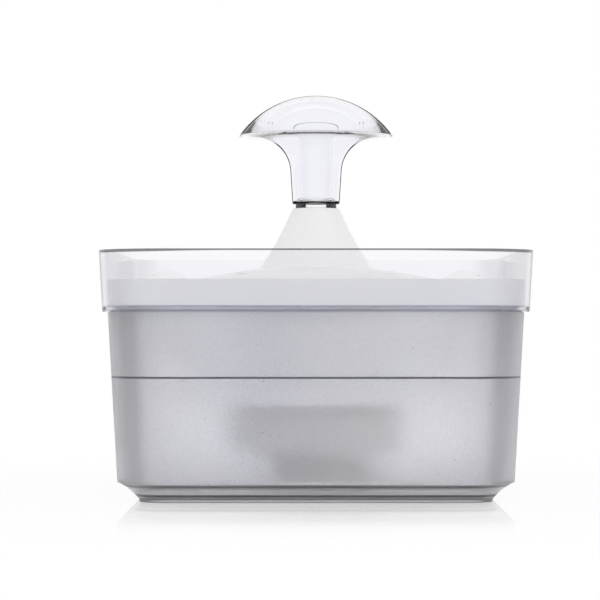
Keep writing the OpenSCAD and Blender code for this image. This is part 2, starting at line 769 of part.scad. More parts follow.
module filter_tray() {
    floor_top = filter_z + filter_floor_t;
    wall_top = filter_top_z - filter_flange_t;
    flange_step = 1.8;
    sump_edge = 0.4;
    sump_top = floor_top + sump_h;
    hub_r = spigot_r + fit;
    cup_r = hub_r + 0.7;
    cup_bore = outlet_r + 0.4;
    color(white) {
        difference() {
            turned([
                [sump_r, filter_z], [filter_floor_r, filter_z],
                [filter_face(wall_top), wall_top], [filter_flange_r, wall_top],
                [filter_flange_r, wall_top + filter_flange_t / 2],
                [filter_flange_r - flange_step, wall_top + filter_flange_t / 2],
                [filter_flange_r - flange_step, filter_top_z],
                [filter_inside(filter_top_z), filter_top_z],
                [filter_inside(floor_top), floor_top],
                [sump_r + sump_wall, floor_top],
                [sump_r + sump_wall, sump_top - sump_edge],
                [sump_r + sump_wall - sump_edge, sump_top],
                [sump_r + sump_edge, sump_top], [sump_r, sump_top - sump_edge]]);
            for (i = [0:filter_slots - 1]) rotate(360 * (i + 0.5) / filter_slots)
                translate([filter_slot_in, -filter_slot_w / 2, filter_z - 1])
                    cube([filter_slot_out - filter_slot_in, filter_slot_w, filter_floor_t + 2]);
        }
        turned([
            [cup_bore, seal_cup_z], [cup_r, seal_cup_z],
            [cup_r, filter_z], [sump_r + sump_edge, filter_z],
            [sump_r + sump_edge, floor_top], [hub_r + hub_wall, floor_top],
            [hub_r + hub_wall, hub_shoulder_z + hub_h], [hub_r, hub_shoulder_z + hub_h],
            [hub_r, hub_shoulder_z], [seal_pocket_r, hub_shoulder_z],
            [seal_pocket_r, seal_cup_z + cup_floor], [cup_bore, seal_cup_z + cup_floor]],
            SMALL * 2);
        for (i = [0:pegs - 1]) rotate(360 * i / pegs + 30) translate([peg_reach, 0, 0]) {
            head_z = filter_z - seat - hood_wall - seat - peg_head_h;
            translate([0, 0, head_z]) cylinder(r = peg_r, h = filter_z + 1 - head_z, $fn = SMALL);
            translate([0, 0, head_z])
                cylinder(r1 = peg_r, r2 = peg_r + 0.6, h = peg_head_h, $fn = SMALL);
        }
    }
}

// A ring of filter material that fits the tray at height z
module filter_ring(z, t) {
    play = 0.6;
    edge = 0.8;
    r_in = sump_r + sump_wall + play;
    r_low = filter_inside(z) - play;
    r_top = filter_inside(z + t) - play;
    turned([[r_in, z], [r_low, z], [r_top, z + t - edge], [r_top - edge, z + t],
            [r_in + edge, z + t], [r_in, z + t - edge]]);
}

module foam_filter() {
    color([0.25, 0.45, 0.70]) filter_ring(foam_z, foam_t);
}

module carbon_filter() {
    color([0.92, 0.93, 0.94]) filter_ring(carbon_z, carbon_t);
}

module outlet_o_ring() {
    color(rubber) translate([0, 0, seal_cup_z + cup_floor + seal_gap + outlet_seal_r])
        rotate_extrude($fn = 96)
            translate([outlet_r + seal_gap + outlet_seal_r, 0]) circle(outlet_seal_r, $fn = 32);
}

// ---- Pump hood ----

module pump_hood() {
    t = hood_wall;
    top = filter_z - seat;
    shoulder = top - hood_shoulder_h;
    color(light_grey) difference() {
        turned([
            [hood_hole_r, top], [hood_flat_r, top], [hood_r - 1, shoulder], [hood_r, shoulder - 1.4],
            [hood_r - 0.6, hood_z], [hood_r - 0.6 - t * 0.8, hood_z],
            [hood_r - t * 1.2, shoulder - t], [hood_flat_r, top - t], [hood_hole_r, top - t]]);
        for (i = [0:pegs - 1]) rotate(360 * i / pegs + 30)
            translate([peg_reach, 0, top - t - 1]) cylinder(r = peg_r + fit, h = t + 2, $fn = SMALL);
    }
}

// ---- Pump ----

// A block along X with rounded long edges
module pump_block(x0, x1, z0, z1, half, r) {
    translate([x0, 0, (z0 + z1) / 2]) rotate([90, 0, 90]) linear_extrude(x1 - x0) {
        h = (z1 - z0) / 2;
        square([2 * half, 2 * (h - r)], center = true);
        square([2 * (half - r), 2 * h], center = true);
        for (y = [-1, 1], z = [-1, 1])
            translate([y * (half - r), z * (h - r)]) circle(r, $fn = SMALL);
    }
}

module motor_housing() {
    x0 = -pump_reach + pump_wall + seat;
    base = plate_top_z + seat;
    well_back = bush_back_x - well_wall;
    color(pump_grey) difference() {
        union() {
            difference() {
                pump_block(x0, motor_face_x, base, pump_top_z, half_w, casing_r);
                pump_block(x0 - 1, motor_face_x - pump_wall, base + pump_wall,
                           pump_top_z - pump_wall, half_w - pump_wall, 1);
            }
            rod_x(well_r + well_wall, well_back, motor_face_x - eps);
        }
        rod_x(well_r, well_end_x, motor_face_x + 1);
        rod_x(bush_r + fit, bush_back_x, well_end_x + 1);
    }
}

module motor_end_cap() {
    x0 = -pump_reach;
    x1 = x0 + pump_wall;
    base = plate_top_z + seat;
    lip = 0.9;
    inset = pump_wall + 0.2;
    color(pump_grey) difference() {
        union() {
            pump_block(x0, x1, base, pump_top_z, half_w, casing_r);
            pump_block(x1 - eps, x1 + lip, base + inset, pump_top_z - inset, half_w - inset, 1);
        }
        translate([0, 0, gland_z - axle_z]) rod_x(gland_neck_r + fit, x0 - 1, x1 + lip + 1);
    }
}

// The sealed coil, bent over the rotor's well
module stator_coil() {
    x0 = -pump_reach + pump_wall + 2;
    x1 = motor_face_x - pump_wall - seat;
    in_half = well_r + well_wall + seat;
    out_half = half_w - pump_wall - seat;
    top = pump_top_z - pump_wall - seat;
    leg = 4;
    color([0.72, 0.45, 0.20]) difference() {
        translate([x0, -out_half, axle_z - leg]) cube([x1 - x0, 2 * out_half, top - axle_z + leg]);
        rod_x(in_half, x0 - 1, x1 + 1);
        translate([x0 - 1, -in_half, axle_z - leg - 1]) cube([x1 - x0 + 2, 2 * in_half, leg + 1]);
    }
}

module pump_chamber() {
    base = plate_top_z + seat;
    play = 0.4;
    top = pump_top_z - pump_wall - play;
    spoke = 1.6;
    hub = bush_r + fit + 1.2;
    color(pump_grey) difference() {
        union() {
            difference() {
                union() {
                    pump_block(chamber_x0, chamber_x1, base, top, half_w - pump_wall - play, 2);
                    translate([0, 0, axle_z])
                        cylinder(r = outlet_r, h = hub_shoulder_z - axle_z, $fn = SMALL);
                }
                rod_x(chamber_r, chamber_x0 - 1, chamber_front_x);
                rod_x(eye_r, chamber_front_x - 1, chamber_x1 + 1);
                translate([0, 0, axle_z])
                    cylinder(r = outlet_r - outlet_wall, h = hub_shoulder_z, $fn = SMALL);
            }
            rod_x(hub, chamber_front_x, chamber_x1);
            for (a = [90, 210, 330]) translate([chamber_front_x, 0, axle_z]) rotate([a, 0, 0])
                translate([0, -spoke / 2, 0]) cube([chamber_front_t, spoke, eye_r + 1]);
        }
        rod_x(bush_r + fit, chamber_front_x - 1, chamber_front_x + bush_len);
        rod_x(shaft_r + fit, chamber_front_x - 1, chamber_x1 + 1);
    }
}

module impeller() {
    neck_r = 3;
    boss_r = 2.6;
    disc_x = chamber_x0 + 0.4;
    disc_t = 1.2;
    vane_x1 = min(disc_x + disc_t + vane_len, chamber_front_x - rotor_gap);
    vane_in = boss_r - 0.8;
    color([0.30, 0.31, 0.34]) difference() {
        union() {
            rod_x(rotor_r, rotor_x0, rotor_x1);
            rod_x(neck_r, rotor_x1 - 1, disc_x + eps);
            rod_x(vane_r, disc_x, disc_x + disc_t);
            rod_x(boss_r, disc_x, vane_x1);
            for (i = [0:vanes - 1])
                translate([disc_x, 0, axle_z]) rotate([360 * i / vanes, 0, 0])
                    translate([0, -vane_t / 2, vane_in])
                        cube([vane_x1 - disc_x, vane_t, vane_r - 0.2 - vane_in]);
        }
        rod_x(shaft_r + fit, rotor_x0 - 1, vane_x1 + 1);
    }
}

module impeller_shaft() {
    color([0.92, 0.92, 0.88]) rod_x(shaft_r, bush_back_x + seat, chamber_front_x + bush_len - seat);
}

module shaft_bushes() {
    color(rubber) {
        difference() {
            rod_x(bush_r, bush_back_x + 0.1, well_end_x);
            rod_x(shaft_r + fit, bush_back_x - 1, well_end_x + 1);
        }
        difference() {
            rod_x(bush_r, chamber_front_x, chamber_front_x + bush_len - 0.1);
            rod_x(shaft_r + fit, chamber_front_x - 1, chamber_front_x + bush_len + 1);
        }
    }
}

// An arc-shaped window through a wall across X, its middle at angle a
module arc_window(x0, x1, a, spread) {
    translate([x0, 0, axle_z]) rotate([a + 90 - spread / 2, 0, 0]) rotate([0, 90, 0])
        rotate_extrude(angle = spread, $fn = 96)
            translate([window_in, 0]) square([window_out - window_in, x1 - x0]);
}

// The slotted cover that slides over the front of the pump
module strainer_cover() {
    x0 = motor_face_x + seat;
    x1 = pump_reach;
    inner = half_w - pump_wall;
    notch = outlet_r + 0.5;
    color(pump_grey) difference() {
        pump_block(x0, x1, pump_z, pump_top_z, half_w, casing_r);
        // Open at the back and underneath
        pump_block(x0 - 1, x1 - pump_wall, pump_z - 6, pump_top_z - pump_wall, inner, 1);
        translate([x0 - 1, -notch, pump_top_z - 5]) cube([1 - x0, 2 * notch, 10]);
        translate([0, 0, pump_top_z - 5]) cylinder(r = notch, h = 10, $fn = SMALL);
        for (i = [0:strainer_slots - 1]) {
            x = strainer_first_x + i * strainer_pitch;
            top = pump_z + strainer_slot_h + i * strainer_slot_growth;
            for (side = [-1, 1]) translate([x, side * half_w, 0]) {
                translate([-strainer_slot_w / 2, -pump_wall - 1, pump_z - 1])
                    cube([strainer_slot_w, 2 * pump_wall + 2, top - pump_z + 1]);
                translate([0, pump_wall + 1, top]) rotate([90, 0, 0])
                    cylinder(r = strainer_slot_w / 2, h = 2 * pump_wall + 2, $fn = 24);
            }
        }
        rod_x(dial_pin_r + fit, x1 - pump_wall - 1, x1 + 1);
        for (a = [0, 120, 240]) arc_window(x1 - pump_wall - 1, x1 + 1, a, strainer_window_arc);
    }
}

// The dial that opens and closes the strainer's front windows
module flow_dial() {
    x0 = pump_reach + seat;
    x1 = x0 + dial_t;
    round_r = 2;
    head_t = 1.2;
    pin_x = pump_reach - pump_wall - seat - head_t;
    color([0.50, 0.60, 0.75]) difference() {
        union() {
            translate([x0, 0, axle_z]) rotate([0, 90, 0]) turned(concat(
                [[0, 0], [dial_r, 0]],
                arc([dial_r - round_r, dial_t - round_r], round_r, round_r, 0, 90, 6),
                [[0, dial_t]]), SMALL * 2);
            rod_x(dial_pin_r, pin_x, x0 + 1);
            translate([pin_x, 0, axle_z]) rotate([0, 90, 0])
                cylinder(r1 = dial_pin_r, r2 = dial_pin_r + 0.7, h = head_t, $fn = SMALL);
        }
        for (a = [60, 180, 300]) arc_window(x0 - 1, x1 + 1, a, dial_window_arc);
    }
}

// Places of the suction cups: three pairs along the pump
module at_cups() {
    for (i = [-1:1], y = [-0.5, 0.5]) translate([cup_x + i * cup_pitch, y * cup_cross, 0]) children();
}

module pump_base_plate() {
    x0 = -pump_reach;
    x1 = pump_reach - pump_wall - seat;
    // Narrow enough to lie inside the strainer cover
    narrow = half_w - pump_wall - 0.5;
    color(pump_grey) difference() {
        union() {
            translate([x0, -half_w, pump_z]) cube([motor_face_x - x0, pump_w, plate_t]);
            translate([motor_face_x - 1, -narrow, pump_z])
                cube([x1 - motor_face_x + 1, 2 * narrow, plate_t]);
        }
        at_cups() translate([0, 0, pump_z - 1])
            cylinder(r = stud_r + fit, h = plate_t - stud_cover + 1, $fn = SMALL);
    }
}

module suction_cups() {
    z = floor_z + seat;
    lip = 0.7;
    lip_w = 1.6;
    crown_t = 2.4;
    stud_root = 1.5;
    stud_top = seat + plate_t - stud_cover - 0.2;
    color(rubber) at_cups() {
        translate([0, 0, z]) turned(concat(
            [[cup_r - lip_w, 0], [cup_r, 0], [cup_r, lip]],
            arc([0, lip], cup_r - 0.3, cup_h - lip, 10, 90, 8),
            arc([0, 0], cup_r - 2.2, cup_h - crown_t, 90, 12, 8)), SMALL);
        translate([0, 0, z + cup_h - stud_root])
            cylinder(r = stud_r, h = stud_root + stud_top, $fn = SMALL);
    }
}

// The loop at the foot of the strainer, by which it is pulled off
module pull_loop() {
    x0 = pump_reach + seat;
    z0 = floor_z + seat;
    h = pump_z + 2.1 - z0;
    root = 4;
    bar = 3.4;
    sole = 1;
    r = 2;
    color(rubber) translate([x0, loop_w / 2, z0]) rotate([90, 0, 0]) linear_extrude(loop_w)
        difference() {
            union() {
                square([loop_len - r, h]);
                square([loop_len, h - r]);
                translate([loop_len - r, h - r]) circle(r, $fn = SMALL);
            }
            translate([root, sole]) square([loop_len - root - bar, h - sole - bar]);
        }
}

module cable_gland() {
    x0 = -pump_reach - gland_len;
    x1 = -pump_reach - 0.05;
    neck_x = -pump_reach + pump_wall + 0.8;
    color(rubber) translate([0, 0, gland_z - axle_z]) difference() {
        union() {
            rod_x(gland_r, x0, x1);
            rod_x(gland_neck_r, x1 - 1, neck_x);
        }
        rod_x(gland_bore_r, x0 - 1, -pump_reach);
    }
}

reservoir();
splash_collar();
collector_funnel();
drinking_tray();
spout_trumpet();
spout_dome();
feed_tube();
seat_ring();
stem_o_ring();
filter_tray();
foam_filter();
carbon_filter();
outlet_o_ring();
pump_hood();
motor_housing();
motor_end_cap();
stator_coil();
pump_chamber();
impeller();
impeller_shaft();
shaft_bushes();
strainer_cover();
flow_dial();
pump_base_plate();
suction_cups();
pull_loop();
cable_gland();
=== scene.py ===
"""Pet water fountain: frosted reservoir, clear splash collar and spout, white wavy tray."""
import math

import bmesh
import bpy
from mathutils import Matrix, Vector

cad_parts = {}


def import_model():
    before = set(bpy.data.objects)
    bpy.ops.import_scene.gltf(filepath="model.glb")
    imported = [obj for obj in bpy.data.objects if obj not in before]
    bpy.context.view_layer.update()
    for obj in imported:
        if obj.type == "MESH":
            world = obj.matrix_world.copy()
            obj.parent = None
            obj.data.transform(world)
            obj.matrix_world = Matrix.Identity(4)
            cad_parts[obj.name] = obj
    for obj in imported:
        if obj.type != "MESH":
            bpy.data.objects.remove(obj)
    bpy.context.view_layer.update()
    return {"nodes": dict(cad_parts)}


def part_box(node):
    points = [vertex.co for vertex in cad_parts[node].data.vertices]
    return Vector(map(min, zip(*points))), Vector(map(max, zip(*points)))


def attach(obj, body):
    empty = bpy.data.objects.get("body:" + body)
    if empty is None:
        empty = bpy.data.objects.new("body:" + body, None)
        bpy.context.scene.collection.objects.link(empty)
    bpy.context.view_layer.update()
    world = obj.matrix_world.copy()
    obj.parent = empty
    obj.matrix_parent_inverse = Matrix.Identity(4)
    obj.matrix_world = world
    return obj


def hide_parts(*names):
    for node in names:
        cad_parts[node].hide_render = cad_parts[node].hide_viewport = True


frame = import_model()

# ---------------------------------------------------------------- sizes, in millimetres

MM = 0.001


def box_mm(node):
    """Lowest and highest corner of a CAD node, in millimetres."""
    low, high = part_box(node)
    return low / MM, high / MM


collar_low, collar_high = box_mm("splash_collar")
funnel_low, funnel_high = box_mm("collector_funnel")
tray_low, tray_high = box_mm("drinking_tray")
feed_low, feed_high = box_mm("feed_tube")
tub_high = box_mm("reservoir")[1]
trumpet_low = box_mm("spout_trumpet")[0]
dome_high = box_mm("spout_dome")[1]

# Centre of every corner curve of the square pieces, along X and along Y
CORNER_CENTRE = 90.0

# Reservoir: its wall, the edge above its foot, its foot ring and its floor
TUB_WALL = 3.7
TUB_EDGE_HALF = 118.9
TUB_EDGE_Z = 11.8
TUB_EDGE_BOW = 1.0
FOOT_HALF = 105.7
FOOT_TREAD = 5.0
FOOT_Z = 1.8
FLOOR_Z = 6.0
FLOOR_BOW = -0.4
FLOOR_DISC_R = 60.0
# Its inner edge, the fill line inside it and the bead on its rim
INNER_EDGE_RISE = 1.4
FILL_LINE_Z = 74.5
FILL_LINE_H = 0.8
FILL_LINE_PROUD = 0.5
BEAD_W = 1.4
BEAD_H = 1.2
BEAD_MID = tub_high.x - TUB_WALL / 2
TUB_TOP_Z = tub_high.z - BEAD_H

# Splash collar: its wall leans outwards from a flange that sits over the bead
COLLAR_WALL = 3.0
COLLAR_LEAN = 2.1
COLLAR_FOOT = collar_high.x - COLLAR_LEAN
FLANGE_T = 3.0
FLANGE_IN = tub_high.x - TUB_WALL + 0.7
BEAD_PLAY = 0.3

# Collector funnel: a sloping ledge, a rounded throat and a lip turned inwards
FUNNEL_WALL = 2.4
FUNNEL_GAP = 1.3
LEDGE_Z = funnel_low.z + 61.4
LEDGE_SLOPE = math.tan(math.radians(11))
FUNNEL_FOOT_Z = LEDGE_Z - 1.4
THROAT_R = 86.5
THROAT_CURVE_W = 16.5
THROAT_CURVE_H = 28.0
THROAT_START = 95
FUNNEL_LIP_R = 69.0
LIP_BEND_R = 4.0

# Drinking tray: the trough, the wavy crest and the lip
TRAY_WALL = 2.4
TRAY_HALF = 113.0
TRAY_CORNER_R = 67.0
TROUGH_R = 66.0
TOWER_H = 56.4
TROUGH_Z = tray_high.z - TOWER_H
CREST_REACH = 92.0
CREST_CORNER_R = 60.0
HUMP_H = 17.0
HUMP_DIP = 6.5
DIP_SHARPNESS = 2.2
LIP_H = 5.0
LIP_CORNER_RISE = 2.0
# Its tower, with the riser pipe and the spigot inside
TOWER_R = 15.0
TOWER_FOOT_R = TROUGH_R - 2.0
TOWER_BORE_R = 12.6
TOWER_BORE_DEPTH = 11.0
RISER_WALL = 2.3
SPIGOT_R = 10.1
SPIGOT_H = 12.6
SPIGOT_BORE_R = 8.0
SHOULDER_W = 1.0
SHOULDER_TAPER_H = 2.0
# Its feet, which stop just above the funnel's ledge
TRAY_FOOT_REACH = 104.0
TRAY_FOOT_ANGLE = 24.0
TRAY_FOOT_R = 4.5
TRAY_FOOT_TOP_R = 7.0
TRAY_FOOT_GAP = 0.3

# Spout: the trumpet's stem and flare, and the slit below the dome
SPOUT_WALL = 1.6
SPOUT_EDGE_T = 0.15
STEM_FOOT_R = 14.9
STEM_NECK_R = 16.2
STEM_H = 19.6
STEM_FLOOR_T = 1.5
FLARE_R = 22.5
FLARE_X = STEM_NECK_R + FLARE_R
SLIT_INSET = 4.0
SLIT_DROP = 0.2
TRUMPET_EDGE_RISE = 0.6
NECK_Z = trumpet_low.z + STEM_H
TRUMPET_EDGE_Z = NECK_Z + FLARE_R + TRUMPET_EDGE_RISE
# The dome, a part of a sphere, and its posts
SPOUT_LIP_Z = TRUMPET_EDGE_Z + SLIT_DROP
DOME_RISE = dome_high.z - SPOUT_LIP_Z
DOME_R = (dome_high.x**2 + DOME_RISE**2) / (2 * DOME_RISE)
DOME_CENTRE_Z = dome_high.z - DOME_R
POST_REACH = 40.0
POST_R = 1.5
# The feed tube, its two lands with the O-ring between them, and its flared mouth
FEED_R = 10.2
FEED_WALL = 1.2
FEED_FIT = 0.08
SEAL_DROP = 4.4
SEAL_HALF = 1.2
LAND_H = 0.8
LAND_PLAY = 0.8
HOLD_RISE = 1.8
HOLD_W = 1.6
HOLD_H = 1.2
MOUTH_FLARE = 4.5
MOUTH_H = 13.0
MOUTH_WALL = 0.4


# ---------------------------------------------------------------- modelling helpers


def placed(name, data):
    """An object in the scene, for a mesh, a lamp or a camera."""
    obj = bpy.data.objects.new(name, data)
    bpy.context.scene.collection.objects.link(obj)
    return obj


def meshed(name, bm, finish):
    """An object in the scene, made from a bmesh, with its finish."""
    mesh = bpy.data.meshes.new(name)
    bm.to_mesh(mesh)
    bm.free()
    mesh.materials.append(finish)
    return placed(name, mesh)


def piece(name, bm, body, finish, node):
    """A finished piece of the object: it rides on a body and stands for a CAD node."""
    obj = meshed(name, bm, finish)
    obj.data.shade_smooth()
    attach(obj, body)
    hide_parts(node)
    return obj


def round_edges(obj, width, segments=3, angle=32):
    """Rounds every edge sharper than the angle, and keeps the flats flat."""
    bevel = obj.modifiers.new("round_edges", "BEVEL")
    bevel.width = width * MM
    bevel.segments = segments
    bevel.limit_method = "ANGLE"
    bevel.angle_limit = math.radians(angle)
    bevel.harden_normals = True
    bevel.miter_outer = "MITER_ARC"


def peg(bm, reach, degrees, low, top, foot_r, top_r, segments):
    """Adds an upright round peg, at a reach from the axis and an angle about it."""
    radii = {"radius1": foot_r * MM, "radius2": top_r * MM}
    made = bmesh.ops.create_cone(bm, cap_ends=True, segments=segments, depth=(top - low) * MM, **radii)
    angle = math.radians(degrees)
    place = Vector((reach * math.cos(angle), reach * math.sin(angle), (low + top) / 2))
    bmesh.ops.translate(bm, verts=made["verts"], vec=place * MM)


def square_reach(half, corner_r, angle):
    """Distance from the middle to the edge of a rounded square, at an angle."""
    centre = half - corner_r
    turn = abs((angle + math.pi / 4) % (math.pi / 2) - math.pi / 4)
    if half * math.tan(turn) <= centre:
        return half / math.cos(turn)
    across = centre * (math.cos(turn) - math.sin(turn))
    return centre * (math.cos(turn) + math.sin(turn)) + math.sqrt(corner_r**2 - across**2)


def square(half, z):
    """A level ring: a rounded square whose corners share the pieces' corner centres."""
    least_r = 0.4
    return lambda angle: (square_reach(half, max(half - CORNER_CENTRE, least_r), angle), z)


def circle(r, z):
    """A level round ring."""
    return lambda angle: (r, z)


def arc(centre, rx, rz, start, end, steps):
    """Points of an ellipse's arc, in degrees."""
    turns = [math.radians(start + (end - start) * i / steps) for i in range(steps + 1)]
    return [(centre[0] + rx * math.cos(t), centre[1] + rz * math.sin(t)) for t in turns]


def bow(start, end, rise, steps):
    """Points of a shallow curve that bows out to the left of the way from start to end."""
    start, end = Vector(start), Vector(end)
    way = end - start
    side = Vector((-way.y, way.x)).normalized()
    shares = [i / steps for i in range(steps + 1)]
    return [tuple(start + way * t + side * (4 * rise * t * (1 - t))) for t in shares]


def lofted(rings, segments=192, corner_bias=0.15, closed=True):
    """A skin drawn through rings, each a function from an angle to a radius and a height.

    The points crowd towards the corners of a square piece. A closed skin joins its last ring
    to its first; an open one starts and ends at a pole on the axis.
    """
    bm = bmesh.new()
    bmesh.ops.create_circle(bm, segments=segments, radius=1)
    angles = {}
    for i, vert in enumerate(bm.verts):
        even = 2 * math.pi * i / segments
        angles[vert] = even + corner_bias * math.sin(4 * even)

    def place(verts, ring):
        for vert in verts:
            r, z = ring(angles[vert])
            vert.co = Vector((r * math.cos(angles[vert]), r * math.sin(angles[vert]), z)) * MM

    first = set(bm.verts)
    edges = list(bm.edges)
    place(first, rings[0])
    for ring in rings[1:]:
        before = len(bm.verts)
        bmesh.ops.extrude_edge_only(bm, edges=edges)
        bm.verts.ensure_lookup_table()
        added = set(bm.verts[before:])
        for vert in added:
            twin = next(e.other_vert(vert) for e in vert.link_edges if e.other_vert(vert) not in added)
            angles[vert] = angles[twin]
        edges = [e for e in bm.edges[-2 * segments :] if set(e.verts) <= added]
        place(added, ring)
    if closed:
        first_edges = [e for e in bm.edges if set(e.verts) <= first]
        bmesh.ops.bridge_loops(bm, edges=first_edges + edges)
    bmesh.ops.remove_doubles(bm, verts=bm.verts, dist=1e-6)
    bmesh.ops.recalc_face_normals(bm, faces=bm.faces)
    return bm


def turned(outline, closed=True):
    """A skin turned about the axis from an outline of radii and heights."""
    return lofted([circle(r, z) for r, z in outline], 128, 0, closed)


# ---------------------------------------------------------------- finishes


class Wire:
    """A number or a vector in a node tree. Sums of numbers add their Math nodes."""

    def __init__(self, graph, socket):
        self.graph = graph
        self.socket = socket

    def math(self, operation, *others, swap=False):
        """One Math node on this number and the others, or on the others and this one."""
        values = [self, *others]
        if swap:
            values.reverse()
        node = self.graph.node("ShaderNodeMath", {"operation": operation}, dict(enumerate(values)))
        return Wire(self.graph, node.outputs[0])

    def __add__(self, other):
        return self.math("ADD", other)

    __radd__ = __add__

    def __sub__(self, other):
        return self.math("SUBTRACT", other)

    def __rsub__(self, other):
        return self.math("SUBTRACT", other, swap=True)

    def __mul__(self, other):
        return self.math("MULTIPLY", other)

    __rmul__ = __mul__

    def __abs__(self):
        return self.math("ABSOLUTE")

    def most(self, other):
        """The larger of the two."""
        return self.math("MAXIMUM", other)

    def least(self, other):
        """The smaller of the two."""
        return self.math("MINIMUM", other)


class Graph:
    """A node tree that is built node by node."""

    def __init__(self, tree):
        self.tree = tree

    def node(self, kind, settings=None, inputs=None):
        """Any node: its settings first, then the values or links of its sockets."""
        node = self.tree.nodes.new(kind)
        for label, value in (settings or {}).items():
            setattr(node, label, value)
        for key, value in (inputs or {}).items():
            self.join(value, node.inputs[key])
        return node

    def join(self, value, socket):
        """Links a wire or a socket to a socket, or sets a plain value on it."""
        if isinstance(value, Wire):
            value = value.socket
        if isinstance(value, bpy.types.NodeSocket):
            self.tree.links.new(value, socket)
        else:
            socket.default_value = value

    def ray(self, kind):
        """1 where the ray is of a kind: Camera, Diffuse, Glossy or Transmission."""
        return Wire(self, self.node("ShaderNodeLightPath").outputs["Is %s Ray" % kind])

    def smooth(self, wire, low, high, first=0.0, last=1.0):
        """The first value below low and the last above high, with a smooth way between."""
        settings = {"interpolation_type": "SMOOTHSTEP"}
        inputs = {"Value": wire, "From Min": low, "From Max": high, "To Min": first, "To Max": last}
        return Wire(self, self.node("ShaderNodeMapRange", settings, inputs).outputs[0])

    def vector(self, operation, *values):
        """One Vector Math node: a vector, or the length of one as a number."""
        node = self.node("ShaderNodeVectorMath", {"operation": operation}, dict(enumerate(values)))
        return Wire(self, node.outputs["Value" if operation == "LENGTH" else "Vector"])

    def along(self, axis, place):
        """One coordinate of a place or a direction."""
        return Wire(self, self.node("ShaderNodeSeparateXYZ", None, {0: place}).outputs[axis])


class Finish(Graph):
    """A material on Object coordinates, with one Principled surface."""

    def __init__(self, name, **constants):
        self.material = bpy.data.materials.new(name)
        self.material.use_nodes = True
        super().__init__(self.material.node_tree)
        self.surface = self.tree.nodes["Principled BSDF"]
        for label, value in constants.items():
            self.surface.inputs[label.replace("_", " ")].default_value = value
        self.place = self.node("ShaderNodeTexCoord").outputs["Object"]

    def noise(self, scale, detail=2.0, roughness=0.5, stretch=None):
        """Noise with so many features to the metre."""
        place = self.place
        if stretch:
            place = self.node("ShaderNodeMapping", None, {"Vector": place, "Scale": stretch}).outputs[0]
        inputs = {"Vector": place, "Scale": scale, "Detail": detail, "Roughness": roughness}
        return Wire(self, self.node("ShaderNodeTexNoise", None, inputs).outputs[0])

    def cells(self, scale):
        """Distance from the middle of a cell, with so many cells to the metre."""
        inputs = {"Vector": self.place, "Scale": scale}
        return Wire(self, self.node("ShaderNodeTexVoronoi", None, inputs).outputs["Distance"])

    def smooth_mm(self, wire, low, high, first=0.0, last=1.0):
        """A smooth way for a height or a distance, between limits in millimetres."""
        return self.smooth(wire, low * MM, high * MM, first, last)

    def height(self):
        """Height above the floor, in metres."""
        return self.along("Z", self.place)

    def reach(self):
        """Distance from the upright axis, in metres."""
        return self.vector("LENGTH", self.vector("MULTIPLY", self.place, (1, 1, 0)))

    def past_corner_centres(self):
        """Distance outwards from the square through the corner centres, in metres."""
        out_of_reach = 10
        corner = (CORNER_CENTRE * MM, CORNER_CENTRE * MM, out_of_reach)
        past = self.vector("SUBTRACT", self.vector("ABSOLUTE", self.place), corner)
        return self.vector("LENGTH", self.vector("MAXIMUM", past, (0, 0, 0)))

    def facing(self):
        """0 where the surface faces the eye, 1 where it is seen edge on."""
        return Wire(self, self.node("ShaderNodeLayerWeight").outputs["Facing"])

    def blend(self, factor, first, second):
        """A colour between two colours."""
        node = self.node("ShaderNodeMix", {"data_type": "RGBA"}, {0: factor, 6: first, 7: second})
        return node.outputs[2]

    def mix(self, factor, first, second):
        """A surface between two surfaces."""
        return self.node("ShaderNodeMixShader", None, {0: factor, 1: first, 2: second}).outputs[0]

    def paint(self, label, value):
        """Links what varies over the surface to a socket of the surface."""
        self.join(value, self.surface.inputs[label])

    def bump(self, height, distance):
        """Raises the surface by a height, a distance in millimetres at 1."""
        inputs = {"Height": height, "Distance": distance * MM}
        self.paint("Normal", self.node("ShaderNodeBump", None, inputs).outputs[0])

    def show(self, surface):
        """Shows a surface in place of the plain Principled one."""
        self.join(surface, self.tree.nodes["Material Output"].inputs["Surface"])

    def principled(self, **constants):
        """A second Principled surface, the same all over."""
        inputs = {label.replace("_", " "): value for label, value in constants.items()}
        return self.node("ShaderNodeBsdfPrincipled", None, inputs).outputs[0]


def grey(level, blue=0.0):
    """A linear colour from a level as it is seen, 0 to 1, with a little blue."""
    return (level**2.2, level**2.2, (level + blue) ** 2.2, 1.0)


def moulded(name, colour, dark, roughness, grain=900, grain_depth=0.02):
    """Moulded opaque plastic: faint cloudiness in the colour, a fine grain in the skin."""
    finish = Finish(name)
    finish.paint("Base Color", finish.blend(finish.noise(18, 3), dark, colour))
    finish.paint("Roughness", roughness + 0.12 * (finish.noise(60, 4) - 0.5))
    finish.bump(finish.noise(grain, 3), grain_depth)
    return finish.material


